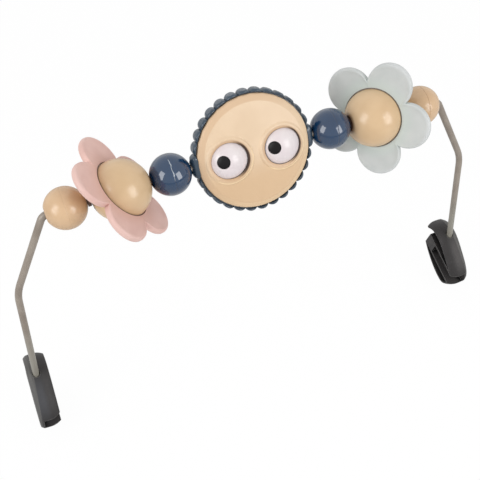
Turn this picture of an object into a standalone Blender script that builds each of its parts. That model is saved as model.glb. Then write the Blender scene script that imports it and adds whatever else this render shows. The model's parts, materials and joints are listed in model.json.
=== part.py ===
# Toy bar for a baby bouncer: a bent steel rod that carries round beads, two flowers
# and a round face with rolling eyes, with a clip on each end for the bouncer's rails.
# Metres, +Z up, +X along the bar, -Y towards the child. The origin lies midway
# between the two clips, in the plane of the rod.

import math

import bmesh
import bpy
from mathutils import Matrix, Vector

MM = 0.001

# Fits shared by every piece
CLEARANCE = 0.3 * MM
RUNNING_GAP = 0.4 * MM
OVERRUN = 2.0 * MM
SMOOTH_ANGLE = math.radians(35.0)

# Bent rod
ROD_RADIUS = 3.0 * MM
ROD_SIDES = 12
ROD_ARC_STEPS = 7
ROD_CORNER_STEPS = 5
ROD_KNEE_STEPS = 5
BAR_HEIGHT = 223.3 * MM
CORNER_FROM_END_BEAD = 18.2 * MM
BAR_RISE = 5.2 * MM
CORNER_BEND_RADIUS = 8.0 * MM
KNEE_BEND_RADIUS = 60.0 * MM
KNEE_DROP = 76.2 * MM
UPPER_LEG_SPLAY = math.radians(26.8)
LOWER_LEG_SPLAY = math.radians(5.9)
ROD_END_ROUNDING = 1.0 * MM
ROD_END_EDGE_ANGLE = math.radians(60.0)

# Plain beads
BEAD_RADIUS = 17.0 * MM
BEAD_END_LIP = 0.9 * MM
BEAD_MOUTH_LIP = 2.8 * MM
BEAD_MOUTH_DEPTH = 5.0 * MM
BEAD_SIDES = 24
BEAD_RINGS = 10

# Washer between each flower and its end bead
WASHER_WALL = 1.5 * MM
WASHER_LENGTH = 2.8 * MM
WASHER_SIDES = 16

# Flowers
FLOWER_BALL_RADIUS = 24.6 * MM
FLOWER_BALL_WALL = 2.4 * MM
FLOWER_HUB_RADIUS = 19.0 * MM
FLOWER_HUB_WALL = 2.0 * MM
FLOWER_TILT = math.radians(39.0)
FLOWER_SLEEVE_WALL = 1.1 * MM
FLOWER_BALL_SIDES = 26
FLOWER_BALL_RINGS = 5
PETAL_COUNT = 5
PETAL_TIP_RADIUS = 49.8 * MM
PETAL_VALLEY_RADIUS = 32.1 * MM
PETAL_HUB_THICKNESS = 3.0 * MM
PETAL_RIM_THICKNESS = 5.8 * MM
PETAL_DISH_THICKNESS = 4.0 * MM
PETAL_EDGE_THICKNESS = 3.6 * MM
PETAL_RIM_INSET = 3.0 * MM
PETAL_DISH_INSET = 8.0 * MM
PETAL_EDGE_INSET = 0.8 * MM
PETAL_STEPS_PER_LOBE = 12
MINT_SPIN = math.radians(63.2)
PINK_SPIN = math.radians(-14.5)
MINT_PETAL_TURN = math.radians(57.0)
PINK_PETAL_TURN = math.radians(5.2)

# Face
FACE_TILT = math.radians(21.6)
FACE_RADIUS = 47.4 * MM
FACE_FLANGE_HALF = 2.0 * MM
FACE_EDGE_HEIGHT = 4.8 * MM
FACE_SHOULDER_WIDTH = 5.4 * MM
FACE_SHOULDER_HEIGHT = 7.7 * MM
FACE_CROWN_HEIGHT = 9.6 * MM
FACE_WALL = 2.4 * MM
FACE_SIDES = 44
FACE_DOME_STEPS = 3
FACE_SHOULDER_STEPS = 3

# Scalloped rim round the face
RIM_TONGUE = 3.2 * MM
RIM_VALLEY_RISE = 1.3 * MM
RIM_CREST_RISE = 3.9 * MM
RIM_BOSS_RISE = 5.0 * MM
RIM_HALF_WIDTH = 5.6 * MM
RIM_VALLEY_WIDTH_SHARE = 0.72
RIB_PITCH = math.radians(12.0)
RIM_STEPS_PER_RIB = 4
RIM_SECTION_TURNS = tuple(math.radians(a) for a in (68.0, 34.0, 0.0, -34.0, -68.0))
BOSS_FLATNESS_SHARE = 0.35

# Tube through the face that the eyes turn on
FACE_SLEEVE_PLAY = 0.7 * MM
FACE_SLEEVE_WALL = 0.7 * MM
TUBE_SIDES = 20

# Rolling eyes
EYES_APART = 10.0 * MM
EYE_FROM_EDGE = 7.8 * MM
EYE_SEAT_GAP = 0.4 * MM
EYE_SIDES = 24
EYE_RINGS = 11
PUPIL_RADIUS = 5.1 * MM
PUPIL_DEPTH = 1.6 * MM
PUPIL_SIDES = 20
PUPIL_CROWN_STEPS = 2
LEFT_GAZE_SIDE = math.radians(-24.0)
RIGHT_GAZE_SIDE = math.radians(-29.0)
GAZE_RISE = math.radians(9.0)

# Screws that close the face from behind
SCREW_OFFSET_ALONG = 17.0 * MM
SCREW_FROM_EDGE = 18.4 * MM
SCREW_HEAD_RADIUS = 2.8 * MM
SCREW_HEAD_HEIGHT = 1.6 * MM
SCREW_SHANK_RADIUS = 1.3 * MM
SCREW_SEAT_HEIGHT = 5.0 * MM
SCREW_REACH = 5.8 * MM
SCREW_POST_RADIUS = 4.2 * MM
SCREW_SIDES = 14
SCREW_SLOT_WIDTH = 0.8 * MM
SCREW_SLOT_DEPTH = 0.7 * MM
SCREW_SLOT_SHARE = 0.67

# Clips
CLIP_WIDTH = 19.6 * MM
CLIP_INNER_FROM_ROD = 11.8 * MM
CLIP_TOE_IN = math.radians(2.5)
CLIP_HALF_LENGTH = 36.6 * MM
CLIP_FRONT_BULGE = 31.9 * MM
CLIP_BACK_BULGE = 18.5 * MM
CLIP_LEAN = math.radians(43.0)
CLIP_CENTRE_BACK = 6.4 * MM
CLIP_CENTRE_BELOW = 3.6 * MM
CLIP_INNER_CROWN = 2.9 * MM
CLIP_OUTER_CROWN = 2.2 * MM
CLIP_FRONT_FULLNESS_SHARE = 0.66
CLIP_RIDGE_SHARE = 0.55
CLIP_LEVEL_SHARES = (0.0, 0.12, 0.3, 0.55, 0.78, 0.92, 1.0)
CLIP_OUTER_WALL = 3.5 * MM
CLIP_SHELL_WALL = 1.8 * MM
CLIP_PLATE_WALL = 2.3 * MM
CLIP_SOCKET_WALL = 2.2 * MM
CLIP_MOUTH_GAP = 3.0 * MM
CLIP_HEEL_FROM_ROD = 24.0 * MM
CLIP_STEPS = 18
CHANNEL_GAP = 17.2 * MM
CHANNEL_DROP = math.radians(21.6)
CHANNEL_BACK_FROM_ROD = 10.5 * MM
SOCKET_DEPTH = 14.0 * MM


def clear_scene():
    for old in list(bpy.data.objects):
        bpy.data.objects.remove(old, do_unlink=True)


def make_material(name, colour, roughness, metallic=0.0):
    material = bpy.data.materials.new(name)
    material.use_nodes = True
    shader = material.node_tree.nodes["Principled BSDF"]
    shader.inputs["Base Color"].default_value = (*colour, 1.0)
    shader.inputs["Roughness"].default_value = roughness
    shader.inputs["Metallic"].default_value = metallic
    return material


def add_empty(name, matrix, parent=None):
    empty = bpy.data.objects.new(name, None)
    bpy.context.scene.collection.objects.link(empty)
    empty.parent = parent
    empty.matrix_local = matrix
    return empty


def add_mesh(name, points, faces, parent, material=None, smooth=True):
    mesh = bpy.data.meshes.new(name)
    mesh.from_pydata([tuple(p) for p in points], [], faces)
    work = bmesh.new()
    work.from_mesh(mesh)
    bmesh.ops.recalc_face_normals(work, faces=work.faces)
    work.to_mesh(mesh)
    work.free()
    if smooth:
        mesh.shade_smooth()
        mesh.set_sharp_from_angle(angle=SMOOTH_ANGLE)
    if material:
        mesh.materials.append(material)
    piece = bpy.data.objects.new(name, mesh)
    bpy.context.scene.collection.objects.link(piece)
    piece.parent = parent
    return piece


def as_cutter(piece):
    piece.hide_render = True
    piece.display_type = "WIRE"
    return piece


def boolean(piece, other, operation="DIFFERENCE"):
    as_cutter(other)
    change = piece.modifiers.new(other.name, "BOOLEAN")
    change.operation = operation
    change.solver = "EXACT"
    change.object = other


# A turned shape: (radius, height) points round one axis. A point with radius 0 is a pole.
def turned(profile, sides, axis="Z"):
    places = {
        "X": lambda r, h, c, s: (h, r * c, r * s),
        "Y": lambda r, h, c, s: (r * c, -h, r * s),
        "Z": lambda r, h, c, s: (r * c, r * s, h),
    }[axis]
    points, rows = [], []
    for radius, height in profile:
        if radius == 0:
            rows.append([len(points)] * sides)
            points.append(places(0, height, 1, 0))
            continue
        rows.append(list(range(len(points), len(points) + sides)))
        for step in range(sides):
            turn = math.tau * step / sides
            points.append(places(radius, height, math.cos(turn), math.sin(turn)))
    faces = []
    for row, following in zip(rows, rows[1:] + rows[:1]):
        for step in range(sides):
            after = (step + 1) % sides
            corners = [row[step], row[after], following[after], following[step]]
            corners = list(dict.fromkeys(corners))
            if len(corners) > 2:
                faces.append(corners)
    return points, faces


def turned_cylinder(radius, low, high, sides, axis):
    return turned([(0, low), (radius, low), (radius, high), (0, high)], sides, axis)


# Points on a ball's outline from one height to another, both ends included
def ball_arc(radius, low, high, steps):
    start, end = math.asin(low / radius), math.asin(high / radius)
    turns = [start + (end - start) * step / steps for step in range(steps + 1)]
    return [(radius * math.cos(t), radius * math.sin(t)) for t in turns]


# Closed outlines in the YZ plane, one after another along X, skinned into a solid
def lofted(levels):
    count = len(levels[0][1])
    points = [(x, y, z) for x, outline in levels for y, z in outline]
    faces = [list(range(count)), list(range(len(points) - count, len(points)))]
    for level in range(len(levels) - 1):
        low, high = level * count, (level + 1) * count
        for step in range(count):
            after = (step + 1) % count
            faces.append([low + step, low + after, high + after, high + step])
    return points, faces


def cap_radius_height(ball_radius, ring_radius):
    return math.sqrt(ball_radius ** 2 - ring_radius ** 2)


# What the rod passes through
ROD_BORE_RADIUS = ROD_RADIUS + RUNNING_GAP
WASHER_BORE_RADIUS = ROD_RADIUS + CLEARANCE
WASHER_RADIUS = WASHER_BORE_RADIUS + WASHER_WALL
BEAD_END_FLAT_RADIUS = ROD_BORE_RADIUS + BEAD_END_LIP
BEAD_MOUTH_RADIUS = ROD_BORE_RADIUS + BEAD_MOUTH_LIP
FLOWER_SLEEVE_RADIUS = ROD_BORE_RADIUS + FLOWER_SLEEVE_WALL
FACE_SLEEVE_RADIUS = ROD_RADIUS + FACE_SLEEVE_PLAY + FACE_SLEEVE_WALL

# What lies on the face: two eyes side by side, and screws above and below them
FACE_SHOULDER_RADIUS = FACE_RADIUS - FACE_SHOULDER_WIDTH
EYE_RADIUS = (FACE_RADIUS - EYE_FROM_EDGE - EYES_APART / 2) / 2
EYE_OFFSET = EYES_APART / 2 + EYE_RADIUS
SCREW_OFFSET_ACROSS = FACE_RADIUS - SCREW_FROM_EDGE

# A petal's tip is an arc that runs through both of its valleys
PETAL_HALF_PITCH = math.pi / PETAL_COUNT
LOBE_CENTRE = ((PETAL_TIP_RADIUS ** 2 - PETAL_VALLEY_RADIUS ** 2) / 2
               / (PETAL_TIP_RADIUS - PETAL_VALLEY_RADIUS * math.cos(PETAL_HALF_PITCH)))
LOBE_RADIUS = PETAL_TIP_RADIUS - LOBE_CENTRE

# The rim's radii, from the edge of the face outwards
RIM_INNER_RADIUS = FACE_RADIUS - RIM_TONGUE
RIM_LIP_RADIUS = FACE_RADIUS + CLEARANCE
RIM_BOSS_REACH = RIM_LIP_RADIUS + RIM_BOSS_RISE

# Where the pieces sit along the bar, from the middle outwards
BEAD_SEAT = cap_radius_height(BEAD_RADIUS, BEAD_END_FLAT_RADIUS)
FLOWER_SEAT = cap_radius_height(FLOWER_BALL_RADIUS, FLOWER_SLEEVE_RADIUS + CLEARANCE)
BLUE_BEAD_ALONG = RIM_BOSS_REACH + CLEARANCE + BEAD_SEAT
FLOWER_ALONG = BLUE_BEAD_ALONG + BEAD_SEAT + CLEARANCE + FLOWER_SEAT
WASHER_ALONG = FLOWER_ALONG + FLOWER_SEAT + CLEARANCE + WASHER_LENGTH / 2
END_BEAD_ALONG = WASHER_ALONG + WASHER_LENGTH / 2 + CLEARANCE + BEAD_SEAT

# The bar is a shallow arc through both corners of the rod
BAR_HALF_SPAN = END_BEAD_ALONG + CORNER_FROM_END_BEAD
ARC_RADIUS = (BAR_HALF_SPAN ** 2 + BAR_RISE ** 2) / (2 * BAR_RISE)


def arc_frame(along):
    turn = along / ARC_RADIUS
    place = Vector((ARC_RADIUS * math.sin(turn), 0,
                    BAR_HEIGHT + BAR_RISE - ARC_RADIUS * (1 - math.cos(turn))))
    return Matrix.Translation(place) @ Matrix.Rotation(turn, 4, "Y")


# A piece on the bar: local +X points away from the middle of the bar
def bar_frame(along, spin=0.0):
    turned_about = Matrix.Rotation(math.pi if along < 0 else 0.0, 4, "Z")
    return arc_frame(along) @ turned_about @ Matrix.Rotation(spin, 4, "X")


# The rod's centre line from the middle of the bar down the right leg, as X and Z
def right_half_route():
    corner = Vector((BAR_HALF_SPAN, 0, BAR_HEIGHT))
    knee = corner + Vector((KNEE_DROP * math.tan(UPPER_LEG_SPLAY), 0, -KNEE_DROP))
    upper = (knee - corner).normalized()
    lower = lower_leg_direction()
    end = rod_end()
    arc_slope = math.asin(BAR_HALF_SPAN / ARC_RADIUS)
    bar = Vector((math.cos(arc_slope), 0, -math.sin(arc_slope)))

    route = []
    reach = bend_reach(bar, upper, CORNER_BEND_RADIUS)
    last_turn = (ARC_RADIUS * arc_slope - reach) / ARC_RADIUS
    for step in range(ROD_ARC_STEPS + 1):
        turn = last_turn * step / ROD_ARC_STEPS
        route.append(Vector((ARC_RADIUS * math.sin(turn), 0,
                             BAR_HEIGHT + BAR_RISE - ARC_RADIUS * (1 - math.cos(turn)))))
    route += bend(corner, bar, upper, CORNER_BEND_RADIUS, ROD_CORNER_STEPS)[1:]
    route += bend(knee, upper, lower, KNEE_BEND_RADIUS, ROD_KNEE_STEPS)
    route.append(end)
    return route


def lower_leg_direction():
    return Vector((math.sin(LOWER_LEG_SPLAY), 0, -math.cos(LOWER_LEG_SPLAY)))


def bend_reach(before, after, radius):
    return radius * math.tan(before.angle(after) / 2)


def bend(corner, before, after, radius, steps):
    reach = bend_reach(before, after, radius)
    start = corner - before * reach
    side = (after - before * after.dot(before)).normalized()
    centre = start + side * radius
    total = before.angle(after)
    turns = [total * step / steps for step in range(steps + 1)]
    return [centre - side * radius * math.cos(t) + before * radius * math.sin(t) for t in turns]


# A point on the lower leg's centre line, by its height
def lower_leg_point(height):
    knee_across = BAR_HALF_SPAN + KNEE_DROP * math.tan(UPPER_LEG_SPLAY)
    drop = BAR_HEIGHT - KNEE_DROP - height
    return Vector((knee_across + drop * math.tan(LOWER_LEG_SPLAY), 0, height))


# Height at which the leg's centre line meets the top of the clip, in the rod's plane
def clip_entry_height():
    outline = clip_outline(0)
    crossings = []
    for (y0, z0), (y1, z1) in zip(outline, outline[1:] + outline[:1]):
        if min(y0, y1) <= 0 < max(y0, y1):
            crossings.append(z0 + (z1 - z0) * y0 / (y0 - y1))
    return max(crossings)


def rod_end():
    return lower_leg_point(clip_entry_height() - SOCKET_DEPTH)


def make_rod(steel):
    half = right_half_route()
    mirrored = [Vector((-p.x, 0, p.z)) for p in reversed(half[1:])]
    route = mirrored + half
    points, faces = [], []
    for index, place in enumerate(route):
        before = route[max(index - 1, 0)]
        after = route[min(index + 1, len(route) - 1)]
        forward = (after - before).normalized()
        across = Vector((0, 1, 0)).cross(forward)
        for step in range(ROD_SIDES):
            turn = math.tau * step / ROD_SIDES
            points.append(place + across * ROD_RADIUS * math.cos(turn)
                          + Vector((0, ROD_RADIUS * math.sin(turn), 0)))
    for index in range(len(route) - 1):
        for step in range(ROD_SIDES):
            after = (step + 1) % ROD_SIDES
            low, high = index * ROD_SIDES, (index + 1) * ROD_SIDES
            faces.append([low + step, low + after, high + after, high + step])
    faces.append(list(range(ROD_SIDES)))
    faces.append([(len(route) - 1) * ROD_SIDES + step for step in range(ROD_SIDES)])
    rod = add_mesh("rod", points, faces, None, steel)
    rounding = rod.modifiers.new("end rounding", "BEVEL")
    rounding.limit_method = "ANGLE"
    rounding.angle_limit = ROD_END_EDGE_ANGLE
    rounding.width = ROD_END_ROUNDING
    rounding.segments = 2


def bead_profile(open_end):
    inner_end = -BEAD_SEAT
    if open_end:
        outer_end = cap_radius_height(BEAD_RADIUS, BEAD_MOUTH_RADIUS)
        bore = [(BEAD_MOUTH_RADIUS, outer_end), (ROD_BORE_RADIUS, outer_end - BEAD_MOUTH_DEPTH)]
    else:
        outer_end = BEAD_SEAT
        bore = [(ROD_BORE_RADIUS, outer_end)]
    outside = ball_arc(BEAD_RADIUS, inner_end, outer_end, BEAD_RINGS)
    if open_end:
        outside = outside[:-1]
    return outside + bore + [(ROD_BORE_RADIUS, inner_end)]


def make_bead(name, along, material, open_end=False):
    seat = add_empty(name + "_axis", bar_frame(along))
    points, faces = turned(bead_profile(open_end), BEAD_SIDES, "X")
    add_mesh(name, points, faces, seat, material)


def make_washer(name, along, material):
    seat = add_empty(name + "_axis", bar_frame(along))
    half = WASHER_LENGTH / 2
    profile = [(WASHER_BORE_RADIUS, -half), (WASHER_RADIUS, -half),
               (WASHER_RADIUS, half), (WASHER_BORE_RADIUS, half)]
    points, faces = turned(profile, WASHER_SIDES, "X")
    add_mesh(name, points, faces, seat, material)


# Half of a flower's ball: a cap with a hub that reaches through the petals
def ball_half_profile(side):
    seat_height = PETAL_HUB_THICKNESS / 2 + CLEARANCE
    hub_inner = FLOWER_HUB_RADIUS - FLOWER_HUB_WALL
    inner_ball = FLOWER_BALL_RADIUS - FLOWER_BALL_WALL
    inner_start = cap_radius_height(inner_ball, hub_inner)
    parting = CLEARANCE / 2
    outside = ball_arc(FLOWER_BALL_RADIUS, seat_height, FLOWER_BALL_RADIUS, FLOWER_BALL_RINGS)
    inside = ball_arc(inner_ball, inner_start, inner_ball, FLOWER_BALL_RINGS - 2)
    outside[-1] = (0, FLOWER_BALL_RADIUS)
    inside[-1] = (0, inner_ball)
    hub = [(hub_inner, parting), (FLOWER_HUB_RADIUS, parting), (FLOWER_HUB_RADIUS, seat_height)]
    profile = hub + outside + inside[::-1]
    return [(radius, side * height) for radius, height in profile]


# Distance from the flower's centre to its outline, in the direction of an angle
def petal_reach(angle):
    off_axis = (angle + PETAL_HALF_PITCH) % (2 * PETAL_HALF_PITCH) - PETAL_HALF_PITCH
    across = LOBE_CENTRE * math.sin(off_axis)
    return LOBE_CENTRE * math.cos(off_axis) + math.sqrt(LOBE_RADIUS ** 2 - across ** 2)


def petal_section(reach):
    hole = FLOWER_HUB_RADIUS + CLEARANCE
    collar = FLOWER_BALL_RADIUS + CLEARANCE
    dish = max(reach - PETAL_DISH_INSET, collar + PETAL_EDGE_INSET)
    upper = [(hole, PETAL_HUB_THICKNESS / 2), (collar, PETAL_HUB_THICKNESS / 2),
             (dish, PETAL_DISH_THICKNESS / 2), (reach - PETAL_RIM_INSET, PETAL_RIM_THICKNESS / 2),
             (reach - PETAL_EDGE_INSET, PETAL_EDGE_THICKNESS / 2)]
    lower = [(radius, -height) for radius, height in reversed(upper)]
    return upper + [(reach, 0)] + lower


def make_petals(name, parent, material):
    count = PETAL_COUNT * PETAL_STEPS_PER_LOBE
    points, faces, width = [], [], 0
    for step in range(count):
        angle = math.tau * step / count
        section = petal_section(petal_reach(angle))
        width = len(section)
        points += [(r * math.cos(angle), r * math.sin(angle), h) for r, h in section]
    for step in range(count):
        here, there = step * width, (step + 1) % count * width
        for item in range(width):
            after = (item + 1) % width
            faces.append([here + item, here + after, there + after, there + item])
    return add_mesh(name, points, faces, parent, material)


# The wire's direction in the flower's own frame, whose +Z is square to the petals
def flower_disc_matrix():
    normal = Vector((-math.cos(FLOWER_TILT), 0, math.sin(FLOWER_TILT)))
    outward = Vector((math.sin(FLOWER_TILT), 0, math.cos(FLOWER_TILT)))
    across = normal.cross(outward)
    return Matrix((outward, across, normal)).transposed().to_4x4()


def make_flower(colour_name, along, spin, petal_turn, materials):
    petal_material, ball_material, sleeve_material = materials
    name = "flower_" + colour_name
    axle = add_empty(name + "_axis", bar_frame(along, spin))
    disc = add_empty(name + "_disc", flower_disc_matrix(), axle)
    bore = add_mesh(name + "_bore", *turned_cylinder(
        FLOWER_SLEEVE_RADIUS + CLEARANCE, -FLOWER_BALL_RADIUS - OVERRUN,
        FLOWER_BALL_RADIUS + OVERRUN, TUBE_SIDES, "X"), axle)
    for side, part in ((1, "ball_front"), (-1, "ball_back")):
        points, faces = turned(ball_half_profile(side), FLOWER_BALL_SIDES)
        half = add_mesh(name + "_" + part, points, faces, disc, ball_material)
        boolean(half, bore)
    turn = add_empty(name + "_petal_axis", Matrix.Rotation(petal_turn, 4, "Z"), disc)
    make_petals(name + "_petals", turn, petal_material)
    profile = [(ROD_BORE_RADIUS, -FLOWER_SEAT), (FLOWER_SLEEVE_RADIUS, -FLOWER_SEAT),
               (FLOWER_SLEEVE_RADIUS, FLOWER_SEAT), (ROD_BORE_RADIUS, FLOWER_SEAT)]
    points, faces = turned(profile, TUBE_SIDES, "X")
    add_mesh(name + "_sleeve", points, faces, axle, sleeve_material)


def face_height(radius):
    share = radius / FACE_SHOULDER_RADIUS
    return FACE_CROWN_HEIGHT - (FACE_CROWN_HEIGHT - FACE_SHOULDER_HEIGHT) * share ** 2


def face_profile():
    base = FACE_FLANGE_HALF + CLEARANCE
    shoulder_run = FACE_RADIUS - FACE_SHOULDER_RADIUS
    shoulder_rise = FACE_SHOULDER_HEIGHT - FACE_EDGE_HEIGHT
    quarter = [math.pi / 2 * step / FACE_SHOULDER_STEPS for step in range(FACE_SHOULDER_STEPS + 1)]
    outside = [(FACE_SHOULDER_RADIUS + shoulder_run * math.cos(t),
                FACE_EDGE_HEIGHT + shoulder_rise * math.sin(t)) for t in quarter]
    dome = [FACE_SHOULDER_RADIUS * (1 - step / FACE_DOME_STEPS) for step in range(1, FACE_DOME_STEPS)]
    outside += [(radius, face_height(radius)) for radius in dome] + [(0, FACE_CROWN_HEIGHT)]
    inside = [(0, FACE_CROWN_HEIGHT - FACE_WALL)]
    inside += [(radius, face_height(radius) - FACE_WALL) for radius in reversed(dome)]
    inside += [(FACE_SHOULDER_RADIUS - FACE_WALL / 2, FACE_SHOULDER_HEIGHT - FACE_WALL),
               (FACE_RADIUS - FACE_WALL, FACE_EDGE_HEIGHT - FACE_WALL / 2),
               (FACE_RADIUS - FACE_WALL, base)]
    return [(FACE_RADIUS, base)] + outside + inside


def screw_places():
    return [(x * SCREW_OFFSET_ALONG, z * SCREW_OFFSET_ACROSS) for z in (1, -1) for x in (-1, 1)]


def at_screws(name, profile, parent):
    points, faces = [], []
    one_points, one_faces = turned(profile, SCREW_SIDES, "Y")
    for x, z in screw_places():
        start = len(points)
        points += [(px + x, py, pz + z) for px, py, pz in one_points]
        faces += [[start + corner for corner in face] for face in one_faces]
    return add_mesh(name, points, faces, parent)


# Front half for side 1, back half for side -1
def make_face_shell(name, side, parent, cutters, material):
    points, faces = turned([(r, side * h) for r, h in face_profile()], FACE_SIDES, "Y")
    shell = add_mesh(name, points, faces, parent, material)
    inner_height = face_height(math.hypot(SCREW_OFFSET_ALONG, SCREW_OFFSET_ACROSS)) - FACE_WALL / 2
    start, end = side * CLEARANCE / 2, side * inner_height
    posts = at_screws(name + "_posts", [(0, start), (SCREW_POST_RADIUS, start),
                                        (SCREW_POST_RADIUS, end), (0, end)], parent)
    boolean(shell, posts, "UNION")
    for cutter in cutters:
        boolean(shell, cutter)
    return shell


# How far a rib stands out at a step round the rim: 0 in a valley and 1 on a crest
def rib_share(step):
    off_crest = 2 * (step % RIM_STEPS_PER_RIB) / RIM_STEPS_PER_RIB - 1
    return math.sqrt(1 - off_crest ** 2)


# The rim's section at a step round it, with a plain block where the bar goes through
def rim_section(step):
    angle = step * RIB_PITCH / RIM_STEPS_PER_RIB
    from_bar = abs((angle + math.pi / 2) % math.pi - math.pi / 2)
    on_boss = from_bar < RIB_PITCH - RIB_PITCH / RIM_STEPS_PER_RIB / 2
    share = 1.0 if on_boss else rib_share(step)
    rise = RIM_VALLEY_RISE + (RIM_CREST_RISE - RIM_VALLEY_RISE) * share
    power = 1.0
    if on_boss:
        rise = RIM_BOSS_REACH / math.cos(from_bar) - RIM_LIP_RADIUS
        power = BOSS_FLATNESS_SHARE
    width_share = RIM_VALLEY_WIDTH_SHARE + (1 - RIM_VALLEY_WIDTH_SHARE) * share
    half_width, top = RIM_HALF_WIDTH * width_share, FACE_EDGE_HEIGHT * width_share
    outside = [(RIM_LIP_RADIUS + rise * math.cos(t) ** power, half_width * math.sin(t))
               for t in RIM_SECTION_TURNS]
    return ([(RIM_INNER_RADIUS, -FACE_FLANGE_HALF), (RIM_INNER_RADIUS, FACE_FLANGE_HALF),
             (RIM_LIP_RADIUS, FACE_FLANGE_HALF), (RIM_LIP_RADIUS, top)] + outside
            + [(RIM_LIP_RADIUS, -top), (RIM_LIP_RADIUS, -FACE_FLANGE_HALF)])


def make_rim(parent, bore, material):
    count = round(math.tau / RIB_PITCH) * RIM_STEPS_PER_RIB
    points, faces, width = [], [], 0
    for step in range(count):
        angle = math.tau * step / count
        section = rim_section(step)
        width = len(section)
        points += [(r * math.cos(angle), -h, r * math.sin(angle)) for r, h in section]
    for step in range(count):
        here, there = step * width, (step + 1) % count * width
        for item in range(width):
            after = (item + 1) % width
            faces.append([here + item, here + after, there + after, there + item])
    rim = add_mesh("face_rim", points, faces, parent, material)
    boolean(rim, bore)


def make_screw(name, x, z, parent, material):
    seat = SCREW_SEAT_HEIGHT + CLEARANCE
    top = seat + SCREW_HEAD_HEIGHT
    profile = [(0, -SCREW_REACH), (SCREW_SHANK_RADIUS, -SCREW_REACH), (SCREW_SHANK_RADIUS, seat),
               (SCREW_HEAD_RADIUS, seat), (SCREW_HEAD_RADIUS, top), (0, top)]
    place = add_empty(name + "_axis", Matrix.Translation((x, 0, z)), parent)
    points, faces = turned([(r, -h) for r, h in profile], SCREW_SIDES, "Y")
    screw = add_mesh(name, points, faces, place, material)
    for turn, part in ((0.0, "slot_a"), (math.pi / 2, "slot_b")):
        half, long_half = SCREW_SLOT_WIDTH / 2, SCREW_HEAD_RADIUS * SCREW_SLOT_SHARE
        corners = [(-half, -long_half), (half, -long_half), (half, long_half), (-half, long_half)]
        spun = [Matrix.Rotation(turn, 2) @ Vector(corner) for corner in corners]
        low, high = top - SCREW_SLOT_DEPTH, top + OVERRUN
        slot_points = [(c.x, low, c.y) for c in spun] + [(c.x, high, c.y) for c in spun]
        slot_faces = [[0, 1, 2, 3], [4, 5, 6, 7]]
        slot_faces += [[i, (i + 1) % 4, 4 + (i + 1) % 4, 4 + i] for i in range(4)]
        boolean(screw, add_mesh(name + "_" + part, slot_points, slot_faces, place))


def gaze_matrix(side_turn):
    return Matrix.Rotation(-GAZE_RISE, 4, "X") @ Matrix.Rotation(side_turn, 4, "Z")


def make_eye(side_name, offset, side_turn, parent, white, black):
    name = "eye_" + side_name
    centre = add_empty(name + "_axis", Matrix.Translation((offset, 0, 0)), parent)
    bore = FACE_SLEEVE_RADIUS + CLEARANCE
    seat = cap_radius_height(EYE_RADIUS, bore)
    profile = ball_arc(EYE_RADIUS, -seat, seat, EYE_RINGS)
    ball = add_mesh(name + "_ball", *turned(profile, EYE_SIDES, "X"), centre, white)
    gaze = add_empty(name + "_gaze", gaze_matrix(side_turn), centre)
    rim_height = cap_radius_height(EYE_RADIUS, PUPIL_RADIUS)
    floor = rim_height - PUPIL_DEPTH
    crown = ball_arc(EYE_RADIUS, rim_height, EYE_RADIUS, PUPIL_CROWN_STEPS)
    crown[-1] = (0, EYE_RADIUS)
    pupil_profile = [(0, floor), (PUPIL_RADIUS, floor)] + crown
    add_mesh(name + "_pupil", *turned(pupil_profile, PUPIL_SIDES, "Y"), gaze, black)
    pocket = add_mesh(name + "_pocket", *turned_cylinder(
        PUPIL_RADIUS + CLEARANCE, floor - CLEARANCE, EYE_RADIUS + OVERRUN, PUPIL_SIDES, "Y"), gaze)
    boolean(ball, pocket)


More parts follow.
